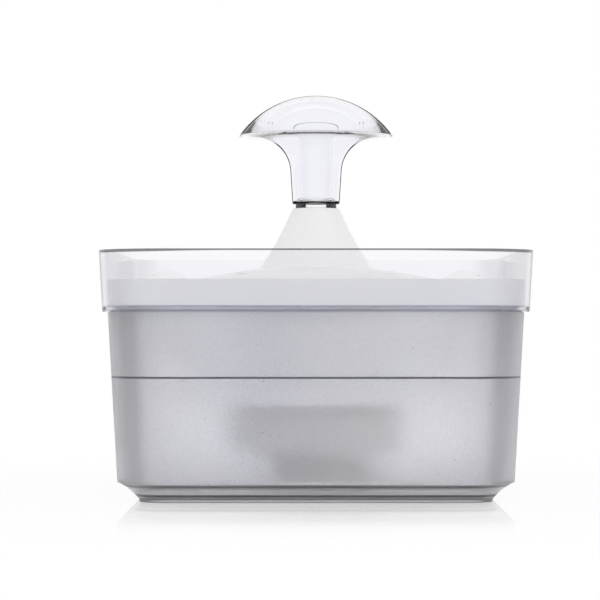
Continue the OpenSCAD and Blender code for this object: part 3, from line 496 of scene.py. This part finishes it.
def frosted_finish():
    """Frosted translucent plastic with a printed fill line. Painted shade darkens its turned corners,
    where it is seen edge on, its foot, and two lines above the foot.
    """
    finish = Finish("frosted_plastic", IOR=1.4, Transmission_Weight=0.8)
    height = finish.height()

    def line(z, half):
        """1 within so many millimetres of a height, with soft edges."""
        fade = 0.25
        return finish.smooth_mm(abs(height - z * MM), half - fade, half + fade, 1.0, 0.0)

    cloud = finish.noise(30, 4)
    patch = finish.smooth(finish.noise(9, 2), 0.35, 0.65)
    grain = finish.smooth(finish.noise(620, 3), 0.3, 0.7)
    mottle = 0.4 * patch + 0.15 * cloud + 0.45 * grain
    tone = finish.blend(mottle, grey(0.91, 0.03), grey(0.995, 0.005))
    # Painted shade: a darker grey where the surface is seen edge on, mostly at the turned corners
    painted_edge_shade = finish.smooth(finish.facing(), 0.03, 0.2)
    tone = finish.blend(painted_edge_shade, tone, grey(0.83, 0.015))
    # Painted shade: the lowest 3 mm, the foot ring by the floor, is painted a darker grey
    foot = finish.smooth_mm(height, 2.6, 3.4, 1.0, 0.0)
    tone = finish.blend(foot, tone, grey(0.55, 0.01))
    # Painted shade: two dark lines on the chamfer above the foot, standing in for its dark edges
    painted_shade_lines = line(TUB_EDGE_Z - 1.5, 0.9).most(line(4.1, 0.8))
    tone = finish.blend(painted_shade_lines, tone, grey(0.30, 0.01))
    finish.paint("Base Color", finish.blend(line(FILL_LINE_Z, 0.6), tone, grey(0.44, 0.04)))
    finish.paint("Roughness", 0.22 + 0.12 * finish.noise(700, 2) + 0.05 * cloud)
    finish.bump(grain, 0.07)
    return finish.material


def clear_finish(name, level, blue, roughness=0.0, bending=1.46):
    """Clear plastic with faint scuffs, and its colour, which carries faint flow marks."""
    finish = Finish(name, IOR=bending, Transmission_Weight=1.0)
    flow = finish.noise(9, 3, stretch=(1, 1, 2.5))
    finish.paint("Roughness", roughness + 0.03 * finish.noise(45, 4))
    finish.bump(finish.noise(22, 2), 0.06)
    return finish, finish.blend(flow, grey(level - 0.005, blue), grey(level, blue))


def collar_finish():
    """The splash collar's plastic, with painted shade: a dark line along its rim, a darker tone where it
    is seen edge on, and a deeper grey on its foot.
    """
    finish, tone = clear_finish("clear_plastic_collar", 0.975, 0.012)
    # Painted shade: a darker tone where the clear wall is seen edge on
    painted_edge_shade = finish.smooth(finish.facing(), 0.0, 0.35)
    tone = finish.blend(painted_edge_shade, tone, grey(0.90, 0.012))
    foot_z = collar_low.z + FLANGE_T
    # Painted shade: a deeper grey-blue on the flange foot, standing in for the shaded strip at the
    # collar's bottom
    foot = finish.smooth_mm(finish.height(), foot_z + 0.6, foot_z + 1.0, 1.0, 0.0)
    tone = finish.blend(foot, tone, grey(0.84, 0.03))
    # Painted shade: a dark line along the rim on the front faces, thicker towards the corners, standing
    # in for the dark edge of clear plastic
    depth = collar_high.z * MM - finish.height()
    painted_rim_line_h = finish.smooth_mm(finish.reach(), 138, 172, 1.0 * MM, 1.9 * MM)
    rim = finish.smooth_mm(depth - painted_rim_line_h, -0.3, 0.3, 1.0, 0.0)
    outer_r = collar_high.x - CORNER_CENTRE
    outer = finish.smooth_mm(finish.past_corner_centres(), outer_r - 2.0, outer_r - 1.6)
    entered = 1.0 - Wire(finish, finish.node("ShaderNodeNewGeometry").outputs["Backfacing"])
    finish.paint("Base Color", finish.blend(rim * outer * entered, tone, grey(0.25, 0.02)))
    return finish.material


# A low index of refraction, so that the spout's thin walls draw few lines inside it
SPOUT_BENDING = 1.25


def painted_outline(finish, tone, dark):
    """Shows clear plastic with a painted shade outline: a matt dark surface where its outer skin turns
    edge on.
    """
    finish.paint("Base Color", tone)
    # Painted shade: a matt dark grey surface standing in for the dark edges of clear plastic
    matt = finish.principled(Base_Color=grey(0.16, 0.01), Roughness=0.8, Specular_IOR_Level=0.0)
    finish.show(finish.mix(dark, finish.surface.outputs[0], matt))
    return finish.material


def dome_finish():
    """The dome's plastic: its skin carries a thin outline of painted shade, which swells towards the
    lip.

    The painted outline starts where the skin has turned from the eye by start, on the outer sphere
    alone, and ends just above the lip.
    """
    finish, tone = clear_finish("clear_plastic_dome", 0.98, 0.014, 0.01, SPOUT_BENDING)
    reach, height = finish.reach(), finish.height()
    # Painted shade: the outline where the outer sphere is seen nearly edge on
    start = finish.smooth_mm(reach, 10, 47, 0.90, 0.83)
    edge = finish.smooth(finish.facing() - start, 0.0, 0.04)
    drop = height - DOME_CENTRE_Z * MM
    from_centre = (reach * reach + drop * drop).math("SQRT")
    skin = finish.smooth_mm(from_centre, DOME_R - 0.12, DOME_R - 0.06)
    above = finish.smooth_mm(height, SPOUT_LIP_Z + 0.4, SPOUT_LIP_Z + 1.0)
    return painted_outline(finish, tone, edge * skin * above)


def trumpet_finish():
    """The trumpet's plastic: a thin outline of painted shade on the outer skin, and a dark line of
    painted shade at the foot.

    The outer skin is told from the inner one by its distance from the flare's curve, or on
    the stem from an upright line that leans in towards the foot.
    """
    finish, tone = clear_finish("clear_plastic_trumpet", 0.98, 0.014, 0.01, SPOUT_BENDING)
    reach, height = finish.reach(), finish.height()
    # Painted shade: a dark outline where the outer skin turns edge on, below the brim
    start = finish.smooth_mm(reach, 16, 38, 0.74, 0.86)
    edge = finish.smooth(finish.facing() - start, 0.0, 0.04)
    inwards = FLARE_X * MM - reach
    upwards = (height - NECK_Z * MM).most(0.0)
    from_curve = (inwards * inwards + upwards * upwards).math("SQRT")
    foot_z = trumpet_low.z
    lean = finish.smooth_mm(height, foot_z, NECK_Z, (STEM_NECK_R - STEM_FOOT_R) * MM, 0.0)
    skin = finish.smooth_mm(from_curve - lean, FLARE_R + 0.2, FLARE_R + 0.3, 1.0, 0.0)
    below = finish.smooth_mm(height, NECK_Z + 0.75 * FLARE_R, NECK_Z + 0.9 * FLARE_R, 1.0, 0.0)
    # Painted shade: a dark band at the stem's foot, where its floor is seen edge on
    foot = finish.smooth_mm(height, foot_z + 0.7, foot_z + 1.1, 1.0, 0.0)
    return painted_outline(finish, tone, (edge * skin * below).most(foot))


def tube_finish():
    """The plastic of the feed tube and of the dome's posts: the clearest of all."""
    finish, tone = clear_finish("clear_plastic_tube", 0.998, 0.001, bending=SPOUT_BENDING)
    finish.paint("Base Color", tone)
    return finish.material


def tray_finish():
    """The tray's gloss white, faintly cloudy."""
    finish = Finish("tray_white")
    finish.paint("Base Color", finish.blend(finish.noise(18, 3), grey(0.965), grey(0.98)))
    finish.paint("Roughness", 0.22 + 0.12 * (finish.noise(60, 4) - 0.5))
    finish.bump(finish.noise(300, 3), 0.01)
    return finish.material


def seat_ring_finish():
    """Smoke grey lugs on a clear ring."""
    finish = Finish("seat_ring_plastic")
    finish.paint("Base Color", finish.blend(finish.noise(40, 3), grey(0.26, 0.02), grey(0.32, 0.02)))
    finish.paint("Roughness", 0.22 + 0.1 * finish.noise(60, 4))
    clear = finish.principled(
        Base_Color=grey(0.99), Roughness=0.02, IOR=SPOUT_BENDING, Transmission_Weight=1.0
    )
    lug = finish.smooth_mm(finish.reach(), 12.15, 12.35)
    finish.show(finish.mix(lug, clear, finish.surface.outputs[0]))
    return finish.material


def foam_finish():
    """Open-cell foam: pores darkened with painted shade, between lighter webs."""
    finish = Finish("filter_foam")
    pores = finish.smooth(finish.cells(900), 0.1, 0.7)
    # Painted shade: the pores are a darker navy, standing in for shade in the holes
    finish.paint("Base Color", finish.blend(pores, (0.012, 0.04, 0.10, 1), (0.05, 0.17, 0.38, 1)))
    finish.paint("Roughness", 0.85 + 0.1 * finish.noise(200))
    finish.bump(pores, 0.5)
    return finish.material


def fleece_finish():
    """White fleece over dark carbon grains, which show through faintly."""
    finish = Finish("filter_fleece")
    fibres = finish.noise(1400, 4, 0.7, stretch=(1, 1, 3))
    grains = finish.smooth(finish.cells(260), 0.2, 0.6)
    shade = finish.blend(grains, grey(0.62), grey(0.90))
    finish.paint("Base Color", finish.blend(fibres, shade, grey(0.94)))
    finish.paint("Roughness", 0.8 + 0.15 * fibres)
    finish.bump(fibres + grains, 0.3)
    return finish.material


def coil_finish():
    """Varnished copper wire, wound close along the pump."""
    finish = Finish("copper_coil", Metallic=1.0)
    wire_pitch = 0.6 * MM
    wires = (finish.along("X", finish.place) * (2 * math.pi / wire_pitch)).math("SINE")
    # Painted shade: darker brown in the grooves between the turns of wire
    finish.paint("Base Color", finish.blend(wires, (0.25, 0.08, 0.02, 1), (0.72, 0.33, 0.12, 1)))
    finish.paint("Roughness", 0.3 + 0.1 * finish.noise(300))
    finish.bump(wires, 0.1)
    return finish.material


FROSTED = frosted_finish()
CLEAR_COLLAR = collar_finish()
CLEAR_DOME = dome_finish()
CLEAR_TRUMPET = trumpet_finish()
CLEAR_TUBE = tube_finish()
TRAY_WHITE = tray_finish()
FUNNEL_WHITE = moulded("funnel_white", grey(0.985, 0.008), grey(0.97, 0.008), 0.38)
FILTER_WHITE = moulded("filter_tray_white", grey(0.93), grey(0.91), 0.34)
HOOD_GREY = moulded("hood_grey", grey(0.80), grey(0.78), 0.42)
PUMP_GREY = moulded("pump_grey", grey(0.69), grey(0.66), 0.45, grain=1500, grain_depth=0.04)
DIAL_BLUE = moulded("dial_blue", (0.21, 0.32, 0.50, 1), (0.18, 0.28, 0.45, 1), 0.35)
RUBBER = moulded("black_rubber", grey(0.13), grey(0.10), 0.62, grain=2500, grain_depth=0.03)
ROTOR_DARK = moulded("rotor_dark", grey(0.22), grey(0.17), 0.38)
CERAMIC = moulded("ceramic_white", grey(0.92), grey(0.90), 0.12)

# The finish of each node that keeps its CAD solid
NODE_FINISHES = {
    "seat_ring": seat_ring_finish(),
    "stem_o_ring": RUBBER,
    "filter_tray": FILTER_WHITE,
    "foam_filter": foam_finish(),
    "carbon_filter": fleece_finish(),
    "outlet_o_ring": RUBBER,
    "pump_hood": HOOD_GREY,
    "motor_housing": PUMP_GREY,
    "motor_end_cap": PUMP_GREY,
    "stator_coil": coil_finish(),
    "pump_chamber": PUMP_GREY,
    "impeller": ROTOR_DARK,
    "impeller_shaft": CERAMIC,
    "shaft_bushes": RUBBER,
    "strainer_cover": PUMP_GREY,
    "flow_dial": DIAL_BLUE,
    "pump_base_plate": PUMP_GREY,
    "suction_cups": RUBBER,
    "pull_loop": RUBBER,
    "cable_gland": RUBBER,
}
for node_name, node_finish in NODE_FINISHES.items():
    for material_slot in frame["nodes"][node_name].material_slots:
        material_slot.material = node_finish

# How wide the moulded edges of those nodes are rounded, in millimetres
ROUNDED_NODES = {
    "filter_tray": 0.5,
    "pump_hood": 0.8,
    "motor_housing": 0.5,
    "motor_end_cap": 0.4,
    "pump_chamber": 0.4,
    "strainer_cover": 0.3,
    "flow_dial": 0.3,
    "pump_base_plate": 0.4,
    "pull_loop": 0.5,
}
for node_name, edge_width in ROUNDED_NODES.items():
    round_edges(frame["nodes"][node_name], edge_width, segments=2, angle=40)


# ---------------------------------------------------------------- reservoir


def tub_face(z):
    """Half width of the reservoir's outer face at a height."""
    share = (z - TUB_EDGE_Z) / (TUB_TOP_Z - TUB_EDGE_Z)
    return TUB_EDGE_HALF + (tub_high.x - TUB_EDGE_HALF) * share


def inner_face(z, proud=0.0):
    """A point of the reservoir's inner face at a height, or one that stands proud of it."""
    return tub_face(z) - TUB_WALL - proud, z


def reservoir():
    """The frosted tub: foot ring, chamfer, leaning wall, bead, and a fill line inside."""
    bead_out = BEAD_MID + BEAD_W / 2
    bead_in = bead_out - BEAD_W
    foot_step, chamfer = 0.4, 0.5
    inner_half = inner_face(TUB_EDGE_Z)[0]
    inner_z = TUB_EDGE_Z + INNER_EDGE_RISE
    outline = [
        (FOOT_HALF - FOOT_TREAD, FOOT_Z),
        (FOOT_HALF - FOOT_TREAD, 0),
        (FOOT_HALF, 0),
        (FOOT_HALF, FOOT_Z),
    ]
    outline += bow((FOOT_HALF + foot_step, FOOT_Z), (TUB_EDGE_HALF, TUB_EDGE_Z), TUB_EDGE_BOW, 8)
    outline += [
        (tub_high.x, TUB_TOP_Z),
        (bead_out, TUB_TOP_Z),
        (bead_out, tub_high.z),
        (bead_in, tub_high.z),
        (bead_in, TUB_TOP_Z),
        inner_face(TUB_TOP_Z),
        inner_face(FILL_LINE_Z + FILL_LINE_H),
        inner_face(FILL_LINE_Z, FILL_LINE_PROUD),
        inner_face(FILL_LINE_Z - FILL_LINE_H),
        (inner_half, inner_z),
    ]
    floor_edge = (FOOT_HALF - 1, FLOOR_Z)
    outline += bow((inner_half - chamfer, inner_z - chamfer), floor_edge, FLOOR_BOW, 6)
    rings = [circle(0, FOOT_Z), circle(FLOOR_DISC_R, FOOT_Z)]
    rings += [square(half, z) for half, z in outline]
    rings += [circle(FLOOR_DISC_R, FLOOR_Z), circle(0, FLOOR_Z)]
    skin = lofted(rings, closed=False)
    tub = piece("reservoir_shell", skin, "reservoir_body", FROSTED, "reservoir")
    round_edges(tub, 0.45)


# ---------------------------------------------------------------- splash collar


def collar_face(z):
    """Half width of the collar's inner face at a height."""
    share = (z - collar_low.z) / (collar_high.z - collar_low.z)
    return COLLAR_FOOT - COLLAR_WALL + COLLAR_LEAN * share


def splash_collar():
    """The clear rim, whose flange has a groove over the reservoir's bead."""
    groove_half = BEAD_W / 2 + BEAD_PLAY
    groove_z = tub_high.z + BEAD_PLAY
    low, top = collar_low.z, collar_high.z
    flange_z = low + FLANGE_T
    outline = [
        (FLANGE_IN, low),
        (BEAD_MID - groove_half, low),
        (BEAD_MID - groove_half, groove_z),
        (BEAD_MID + groove_half, groove_z),
        (BEAD_MID + groove_half, low),
        (COLLAR_FOOT, low),
        (collar_high.x, top),
        (collar_high.x - COLLAR_WALL, top),
        (collar_face(flange_z), flange_z),
        (FLANGE_IN, flange_z),
    ]
    skin = lofted([square(half, z) for half, z in outline])
    collar = piece("splash_collar_shell", skin, "collar", CLEAR_COLLAR, "splash_collar")
    round_edges(collar, 1.0, segments=4)


# ---------------------------------------------------------------- collector funnel


def ledge_at(r):
    """Height of the funnel's ledge at a distance from the axis."""
    return LEDGE_Z + (r - THROAT_R - THROAT_CURVE_W) * LEDGE_SLOPE


def collector_funnel():
    """The white funnel: a square rim, a sloping ledge and a round throat with a lip."""
    t = FUNNEL_WALL
    top = funnel_high.z
    foot = collar_face(FUNNEL_FOOT_Z) - FUNNEL_GAP
    rim = collar_face(top) - FUNNEL_GAP
    curve_r = THROAT_R + THROAT_CURVE_W
    curve = (curve_r, LEDGE_Z - THROAT_CURVE_H)
    lip_z = funnel_low.z + t
    bend = (THROAT_R - LIP_BEND_R, lip_z + LIP_BEND_R)
    ledge_steps = 8

    def on_ledge(step, drop):
        """A ring on the ledge, so many steps from the throat's curve to the rim wall."""

        def ring(angle):
            wall = square_reach(foot - t, foot - t - CORNER_CENTRE, angle)
            r = curve_r + (wall - curve_r) * step / ledge_steps
            return r, ledge_at(r) - drop

        return ring

    steps = range(ledge_steps + 1)
    throat = arc(curve, THROAT_CURVE_W, THROAT_CURVE_H, THROAT_START, 180, 16)
    throat += arc(bend, LIP_BEND_R, LIP_BEND_R, 0, -90, 6)
    throat += [(FUNNEL_LIP_R, lip_z), (FUNNEL_LIP_R, lip_z - t)]
    throat += arc(bend, LIP_BEND_R + t, LIP_BEND_R + t, -90, 0, 6)
    throat += arc(curve, THROAT_CURVE_W - t, THROAT_CURVE_H - t, 180, THROAT_START, 16)
    rings = [square(rim, top), square(rim - t, top)]
    rings += [on_ledge(step, 0) for step in reversed(steps)]
    rings += [circle(r, z) for r, z in throat]
    rings += [on_ledge(step, t) for step in steps]
    rings += [square(foot - t, FUNNEL_FOOT_Z), square(foot, FUNNEL_FOOT_Z)]
    skin = lofted(rings)
    funnel = piece(
        "collector_funnel_shell", skin, "funnel", FUNNEL_WHITE, "collector_funnel"
    )
    round_edges(funnel, 0.5)


# ---------------------------------------------------------------- drinking tray


def dip_at(angle):
    """How far the crest has dipped: 0 at the sides, 1 at the corners."""
    return ((1 - math.cos(4 * angle)) / 2) ** DIP_SHARPNESS


def rim_edges(angle):
    """Distance from the axis to the crest and to the lip, at an angle."""
    crest = square_reach(CREST_REACH, CREST_CORNER_R, angle)
    return crest, square_reach(TRAY_HALF, TRAY_CORNER_R, angle)


def tray_ring(share, drop):
    """A ring of the wavy rim: share is 0 at the trough, 1 at the crest and 2 at the lip."""

    def ring(angle):
        crest, lip = rim_edges(angle)
        crest_h = HUMP_H - HUMP_DIP * dip_at(angle)
        lip_h = LIP_H + LIP_CORNER_RISE * dip_at(angle)
        if share <= 1:
            r = TROUGH_R + (crest - TROUGH_R) * share
            z = crest_h * (1 - math.cos(math.pi * share)) / 2
        else:
            r = crest + (lip - crest) * (share - 1)
            z = lip_h + (crest_h - lip_h) * math.cos(math.pi / 2 * (share - 1))
        return r, TROUGH_Z + z - drop

    return ring


def drinking_tray():
    """The white tray: riser and tower in the middle, then the trough and the wavy rim."""
    tower_steps, rise_steps, fall_steps = 40, 16, 12
    run = TOWER_FOOT_R - TOWER_R
    riser_z = tray_low.z
    riser_r = TOWER_BORE_R + RISER_WALL
    shoulder_z = riser_z + SPIGOT_H
    shoulder_r = SPIGOT_R + SHOULDER_W
    taper_z = tray_high.z - TOWER_BORE_DEPTH

    def tower(u):
        """The tower's outer face, from its top at 0 to its foot at 1."""
        return TOWER_R + run * u, TROUGH_Z + TOWER_H * (1 - u) ** 2

    def tower_inside(u):
        """The tower's inner face, a wall's thickness square from the outer one."""
        slope = -2 * TOWER_H * (1 - u) / run
        across = TRAY_WALL / math.sqrt(1 + slope * slope)
        r, z = tower(u)
        return r + slope * across, z - across

    shares = [i / rise_steps for i in range(rise_steps + 1)]
    shares += [1 + i / fall_steps for i in range(1, fall_steps + 1)]
    middle = [
        (SPIGOT_BORE_R, riser_z),
        (SPIGOT_BORE_R, shoulder_z),
        (TOWER_BORE_R, taper_z),
        (TOWER_BORE_R, tray_high.z),
    ]
    middle += [tower(i / tower_steps) for i in range(tower_steps + 1)]
    below = [tower_inside(i / tower_steps) for i in range(tower_steps, 0, -1)]
    below = [(r, z) for r, z in below if r > riser_r]
    below += [
        (riser_r, taper_z),
        (shoulder_r, shoulder_z + SHOULDER_TAPER_H),
        (shoulder_r, shoulder_z),
        (SPIGOT_R, shoulder_z),
        (SPIGOT_R, riser_z),
    ]
    rings = [circle(r, z) for r, z in middle]
    rings += [tray_ring(share, 0) for share in shares]
    rings += [tray_ring(share, TRAY_WALL) for share in reversed(shares)]
    rings += [circle(r, z) for r, z in below]
    skin = lofted(rings)
    tray = piece("drinking_tray_shell", skin, "tray", TRAY_WHITE, "drinking_tray")
    round_edges(tray, 0.7, angle=40)


def tray_feet():
    """Eight tapered feet under the humps, two to a side."""
    bm = bmesh.new()
    r = TRAY_FOOT_REACH
    low = ledge_at(r + TRAY_FOOT_R) + TRAY_FOOT_GAP
    for side in range(4):
        for turn in (-TRAY_FOOT_ANGLE, TRAY_FOOT_ANGLE):
            degrees = 90 * side + turn
            angle = math.radians(degrees)
            crest, lip = rim_edges(angle)
            share = 1 + (r - crest) / (lip - crest) if r > crest else (r - TROUGH_R) / (crest - TROUGH_R)
            top = tray_ring(share, TRAY_WALL / 2)(angle)[1]
            peg(bm, r, degrees, low, top, TRAY_FOOT_R, TRAY_FOOT_TOP_R, 32)
    feet = piece("tray_feet", bm, "tray", TRAY_WHITE, "drinking_tray")
    round_edges(feet, 0.8)


# ---------------------------------------------------------------- spout


def spout_trumpet():
    """The trumpet, whose wall thins along its flare to a fine flat brim."""
    steps = 28
    stem_z = trumpet_low.z
    floor_z = stem_z + STEM_FLOOR_T
    bore = FEED_R + FEED_FIT
    edge_r = dome_high.x - SLIT_INSET
    outline = [(bore, stem_z), (STEM_FOOT_R, stem_z)]
    outline += arc((FLARE_X, NECK_Z), FLARE_R, FLARE_R, 180, 90, steps)
    outline += [(edge_r, TRUMPET_EDGE_Z), (edge_r, TRUMPET_EDGE_Z + SPOUT_EDGE_T)]
    for i in range(steps + 1):
        turn = math.pi / 2 * (1 + i / steps)
        inner = FLARE_R + SPOUT_EDGE_T + (SPOUT_WALL - SPOUT_EDGE_T) * i / steps
        outline.append((FLARE_X + inner * math.cos(turn), NECK_Z + inner * math.sin(turn)))
    outline += [(STEM_FOOT_R - SPOUT_WALL, floor_z), (bore, floor_z)]
    skin = turned(outline)
    trumpet = piece("spout_trumpet_shell", skin, "spout", CLEAR_TRUMPET, "spout_trumpet")
    round_edges(trumpet, 0.05)


def spout_dome():
    """The dome, whose wall thins close to its edge to a fine lip."""
    steps, lip_sharpness = 40, 8
    lip_turn = math.degrees(math.asin((SPOUT_LIP_Z - DOME_CENTRE_Z) / DOME_R))
    outline = []
    for i in range(steps + 1):
        turn = math.radians(90 + (lip_turn - 90) * i / steps)
        thinned = (SPOUT_WALL - SPOUT_EDGE_T) * (i / steps) ** lip_sharpness
        inner = DOME_R - SPOUT_WALL + thinned
        outline.append((inner * math.cos(turn), DOME_CENTRE_Z + inner * math.sin(turn)))
    outline += arc((0, DOME_CENTRE_Z), DOME_R, DOME_R, lip_turn, 90, steps)
    skin = turned(outline, closed=False)
    dome = piece("spout_dome_cap", skin, "spout", CLEAR_DOME, "spout_dome")
    round_edges(dome, 0.05)


def dome_posts():
    """The four posts that carry the dome on the trumpet."""
    bm = bmesh.new()
    foot_gap, top_gap = 0.3, 0.02
    low = NECK_Z + FLARE_R + SPOUT_WALL + foot_gap
    dome_rise = math.sqrt((DOME_R - SPOUT_WALL) ** 2 - (POST_REACH + POST_R) ** 2)
    top = DOME_CENTRE_Z + dome_rise - top_gap
    for turn in (45, 135, 225, 315):
        peg(bm, POST_REACH, turn, low, top, POST_R, POST_R, 24)
    piece("dome_posts", bm, "spout", CLEAR_TUBE, "spout_dome")


def feed_tube():
    """The clear riser tube: a seal groove between two lands, a collar and a flared mouth."""
    flare_steps, flare_sharpness = 10, 2.2
    inner = FEED_R - FEED_WALL
    land_r = TOWER_BORE_R - LAND_PLAY
    hold_r = FEED_R + HOLD_W
    seal_z = tray_high.z - SEAL_DROP
    groove_low, groove_top = seal_z - SEAL_HALF, seal_z + SEAL_HALF
    hold_low = trumpet_low.z + HOLD_RISE
    hold_top = hold_low + HOLD_H
    outline = [
        (inner, feed_low.z),
        (FEED_R, feed_low.z),
        (FEED_R, groove_low - LAND_H),
        (land_r, groove_low - LAND_H),
        (land_r, groove_low),
        (FEED_R, groove_low),
        (FEED_R, groove_top),
        (land_r, groove_top),
        (land_r, groove_top + LAND_H),
        (FEED_R, groove_top + LAND_H),
        (FEED_R, hold_low),
        (hold_r, hold_low),
        (hold_r, hold_top),
        (FEED_R, hold_top),
    ]
    shares = [i / flare_steps for i in range(flare_steps + 1)]
    flare = [(share**flare_sharpness, feed_high.z - MOUTH_H * (1 - share)) for share in shares]
    mouth_r = inner + MOUTH_FLARE + FEED_WALL - MOUTH_WALL
    outline += [(FEED_R + MOUTH_FLARE * out, z) for out, z in flare]
    outline += [(inner + (mouth_r - inner) * out, z) for out, z in reversed(flare)]
    tube = piece("feed_tube_shell", turned(outline), "spout", CLEAR_TUBE, "feed_tube")
    round_edges(tube, 0.2)


# ---------------------------------------------------------------- stage, lamps and camera

# Places, sizes and distances in metres, lens and sensor in millimetres, power in watts
VIEW_DISTANCE = 1.5
VIEW_HEIGHT = 0.106
LENS = 141.35
SENSOR = 36
FRAME_PIXELS = 600
LEFT_SHIFT_PIXELS = -16
UP_SHIFT_PIXELS = 24
FLOOR_HALF = 6
FLOOR_DROP = 0.0001
LAMP_AIM = Vector((0, 0, 0.12))
WHITE = (1, 1, 1, 1)


def floor():
    """A white glossy floor. Its gloss and its shadow fade out into plain white.

    Around the foot it is brighter to rays that have passed through plastic, so that the
    frosted tub is lit from inside.
    """
    finish = Finish("white_floor", Base_Color=(0.96, 0.96, 0.96, 1), Roughness=0.9)
    reach = finish.reach()
    seen = finish.ray("Camera").most(finish.ray("Transmission")).most(finish.ray("Glossy"))
    near = finish.smooth_mm(reach, 120, 450, 1.0, 0.0)
    under_tub = finish.smooth_mm(reach, 240, 360, 1.0, 0.0) * finish.ray("Transmission")
    glow = finish.blend(under_tub, WHITE, (2.6, 2.6, 2.6, 1))
    white = finish.node("ShaderNodeEmission", None, {"Color": glow}).outputs[0]
    gloss = finish.node("ShaderNodeBsdfGlossy", None, {"Color": WHITE, "Roughness": 0.03}).outputs[0]
    lit = finish.mix(0.9 * seen.most(finish.ray("Diffuse")), finish.surface.outputs[0], white)
    both = finish.mix(0.42 * near * near * finish.ray("Camera"), lit, gloss)
    finish.show(finish.mix((1.0 - near) * seen, both, white))
    bm = bmesh.new()
    bmesh.ops.create_grid(bm, x_segments=1, y_segments=1, size=FLOOR_HALF)
    bmesh.ops.translate(bm, verts=bm.verts, vec=(0, 0, -FLOOR_DROP))
    meshed("floor", bm, finish.material)


def world():
    """White where the camera looks, darker at both sides, so that clear edges draw fine lines."""
    sky = bpy.data.worlds.new("studio")
    bpy.context.scene.world = sky
    sky.use_nodes = True
    graph = Graph(sky.node_tree)
    way = graph.node("ShaderNodeTexCoord").outputs["Generated"]
    sides = graph.smooth(abs(graph.along("X", way)), 0.7, 0.95, 1.0, 0.5)
    above = graph.smooth(graph.along("Z", way), 0.5, 0.9, 1.0, 0.7)
    open_air = graph.smooth(graph.along("Y", way), -0.6, 0.6, 0.92, 0.6)
    through = graph.ray("Transmission")
    shone = (1.0 - through) * open_air + 1.5 * through
    lit = Wire(graph, graph.node("ShaderNodeLightPath").outputs["Diffuse Depth"]).least(1.0)
    light = (1.0 - lit) * sides.least(above) + lit * shone
    graph.join(graph.ray("Camera").most(light), sky.node_tree.nodes["Background"].inputs["Color"])


def lamp(name, place, size, power):
    """A soft square lamp that faces the fountain."""
    data = bpy.data.lights.new(name, "AREA")
    data.energy = power
    data.size = size
    obj = placed(name, data)
    obj.location = place
    obj.rotation_euler = (LAMP_AIM - Vector(place)).to_track_quat("-Z", "Y").to_euler()


def camera():
    """A level camera in front of the fountain."""
    data = bpy.data.cameras.new("camera")
    data.lens = LENS
    data.sensor_width = SENSOR
    data.shift_x = LEFT_SHIFT_PIXELS / FRAME_PIXELS
    data.shift_y = UP_SHIFT_PIXELS / FRAME_PIXELS
    obj = placed("camera", data)
    obj.location = (0, -VIEW_DISTANCE, VIEW_HEIGHT)
    obj.rotation_euler = (math.radians(90), 0, 0)
    bpy.context.scene.camera = obj


camera()
floor()
world()
lamp("key_lamp", (1.3, -1.3, 1.5), 1.4, 3)
lamp("fill_lamp", (-1.6, -0.9, 0.9), 1.4, 0.6)
lamp("top_lamp", (0.1, 0.3, 2.0), 1.6, 1.5)
bpy.context.scene.view_settings.view_transform = "Standard"

reservoir()
splash_collar()
collector_funnel()
drinking_tray()
tray_feet()
spout_trumpet()
spout_dome()
dome_posts()
feed_tube()
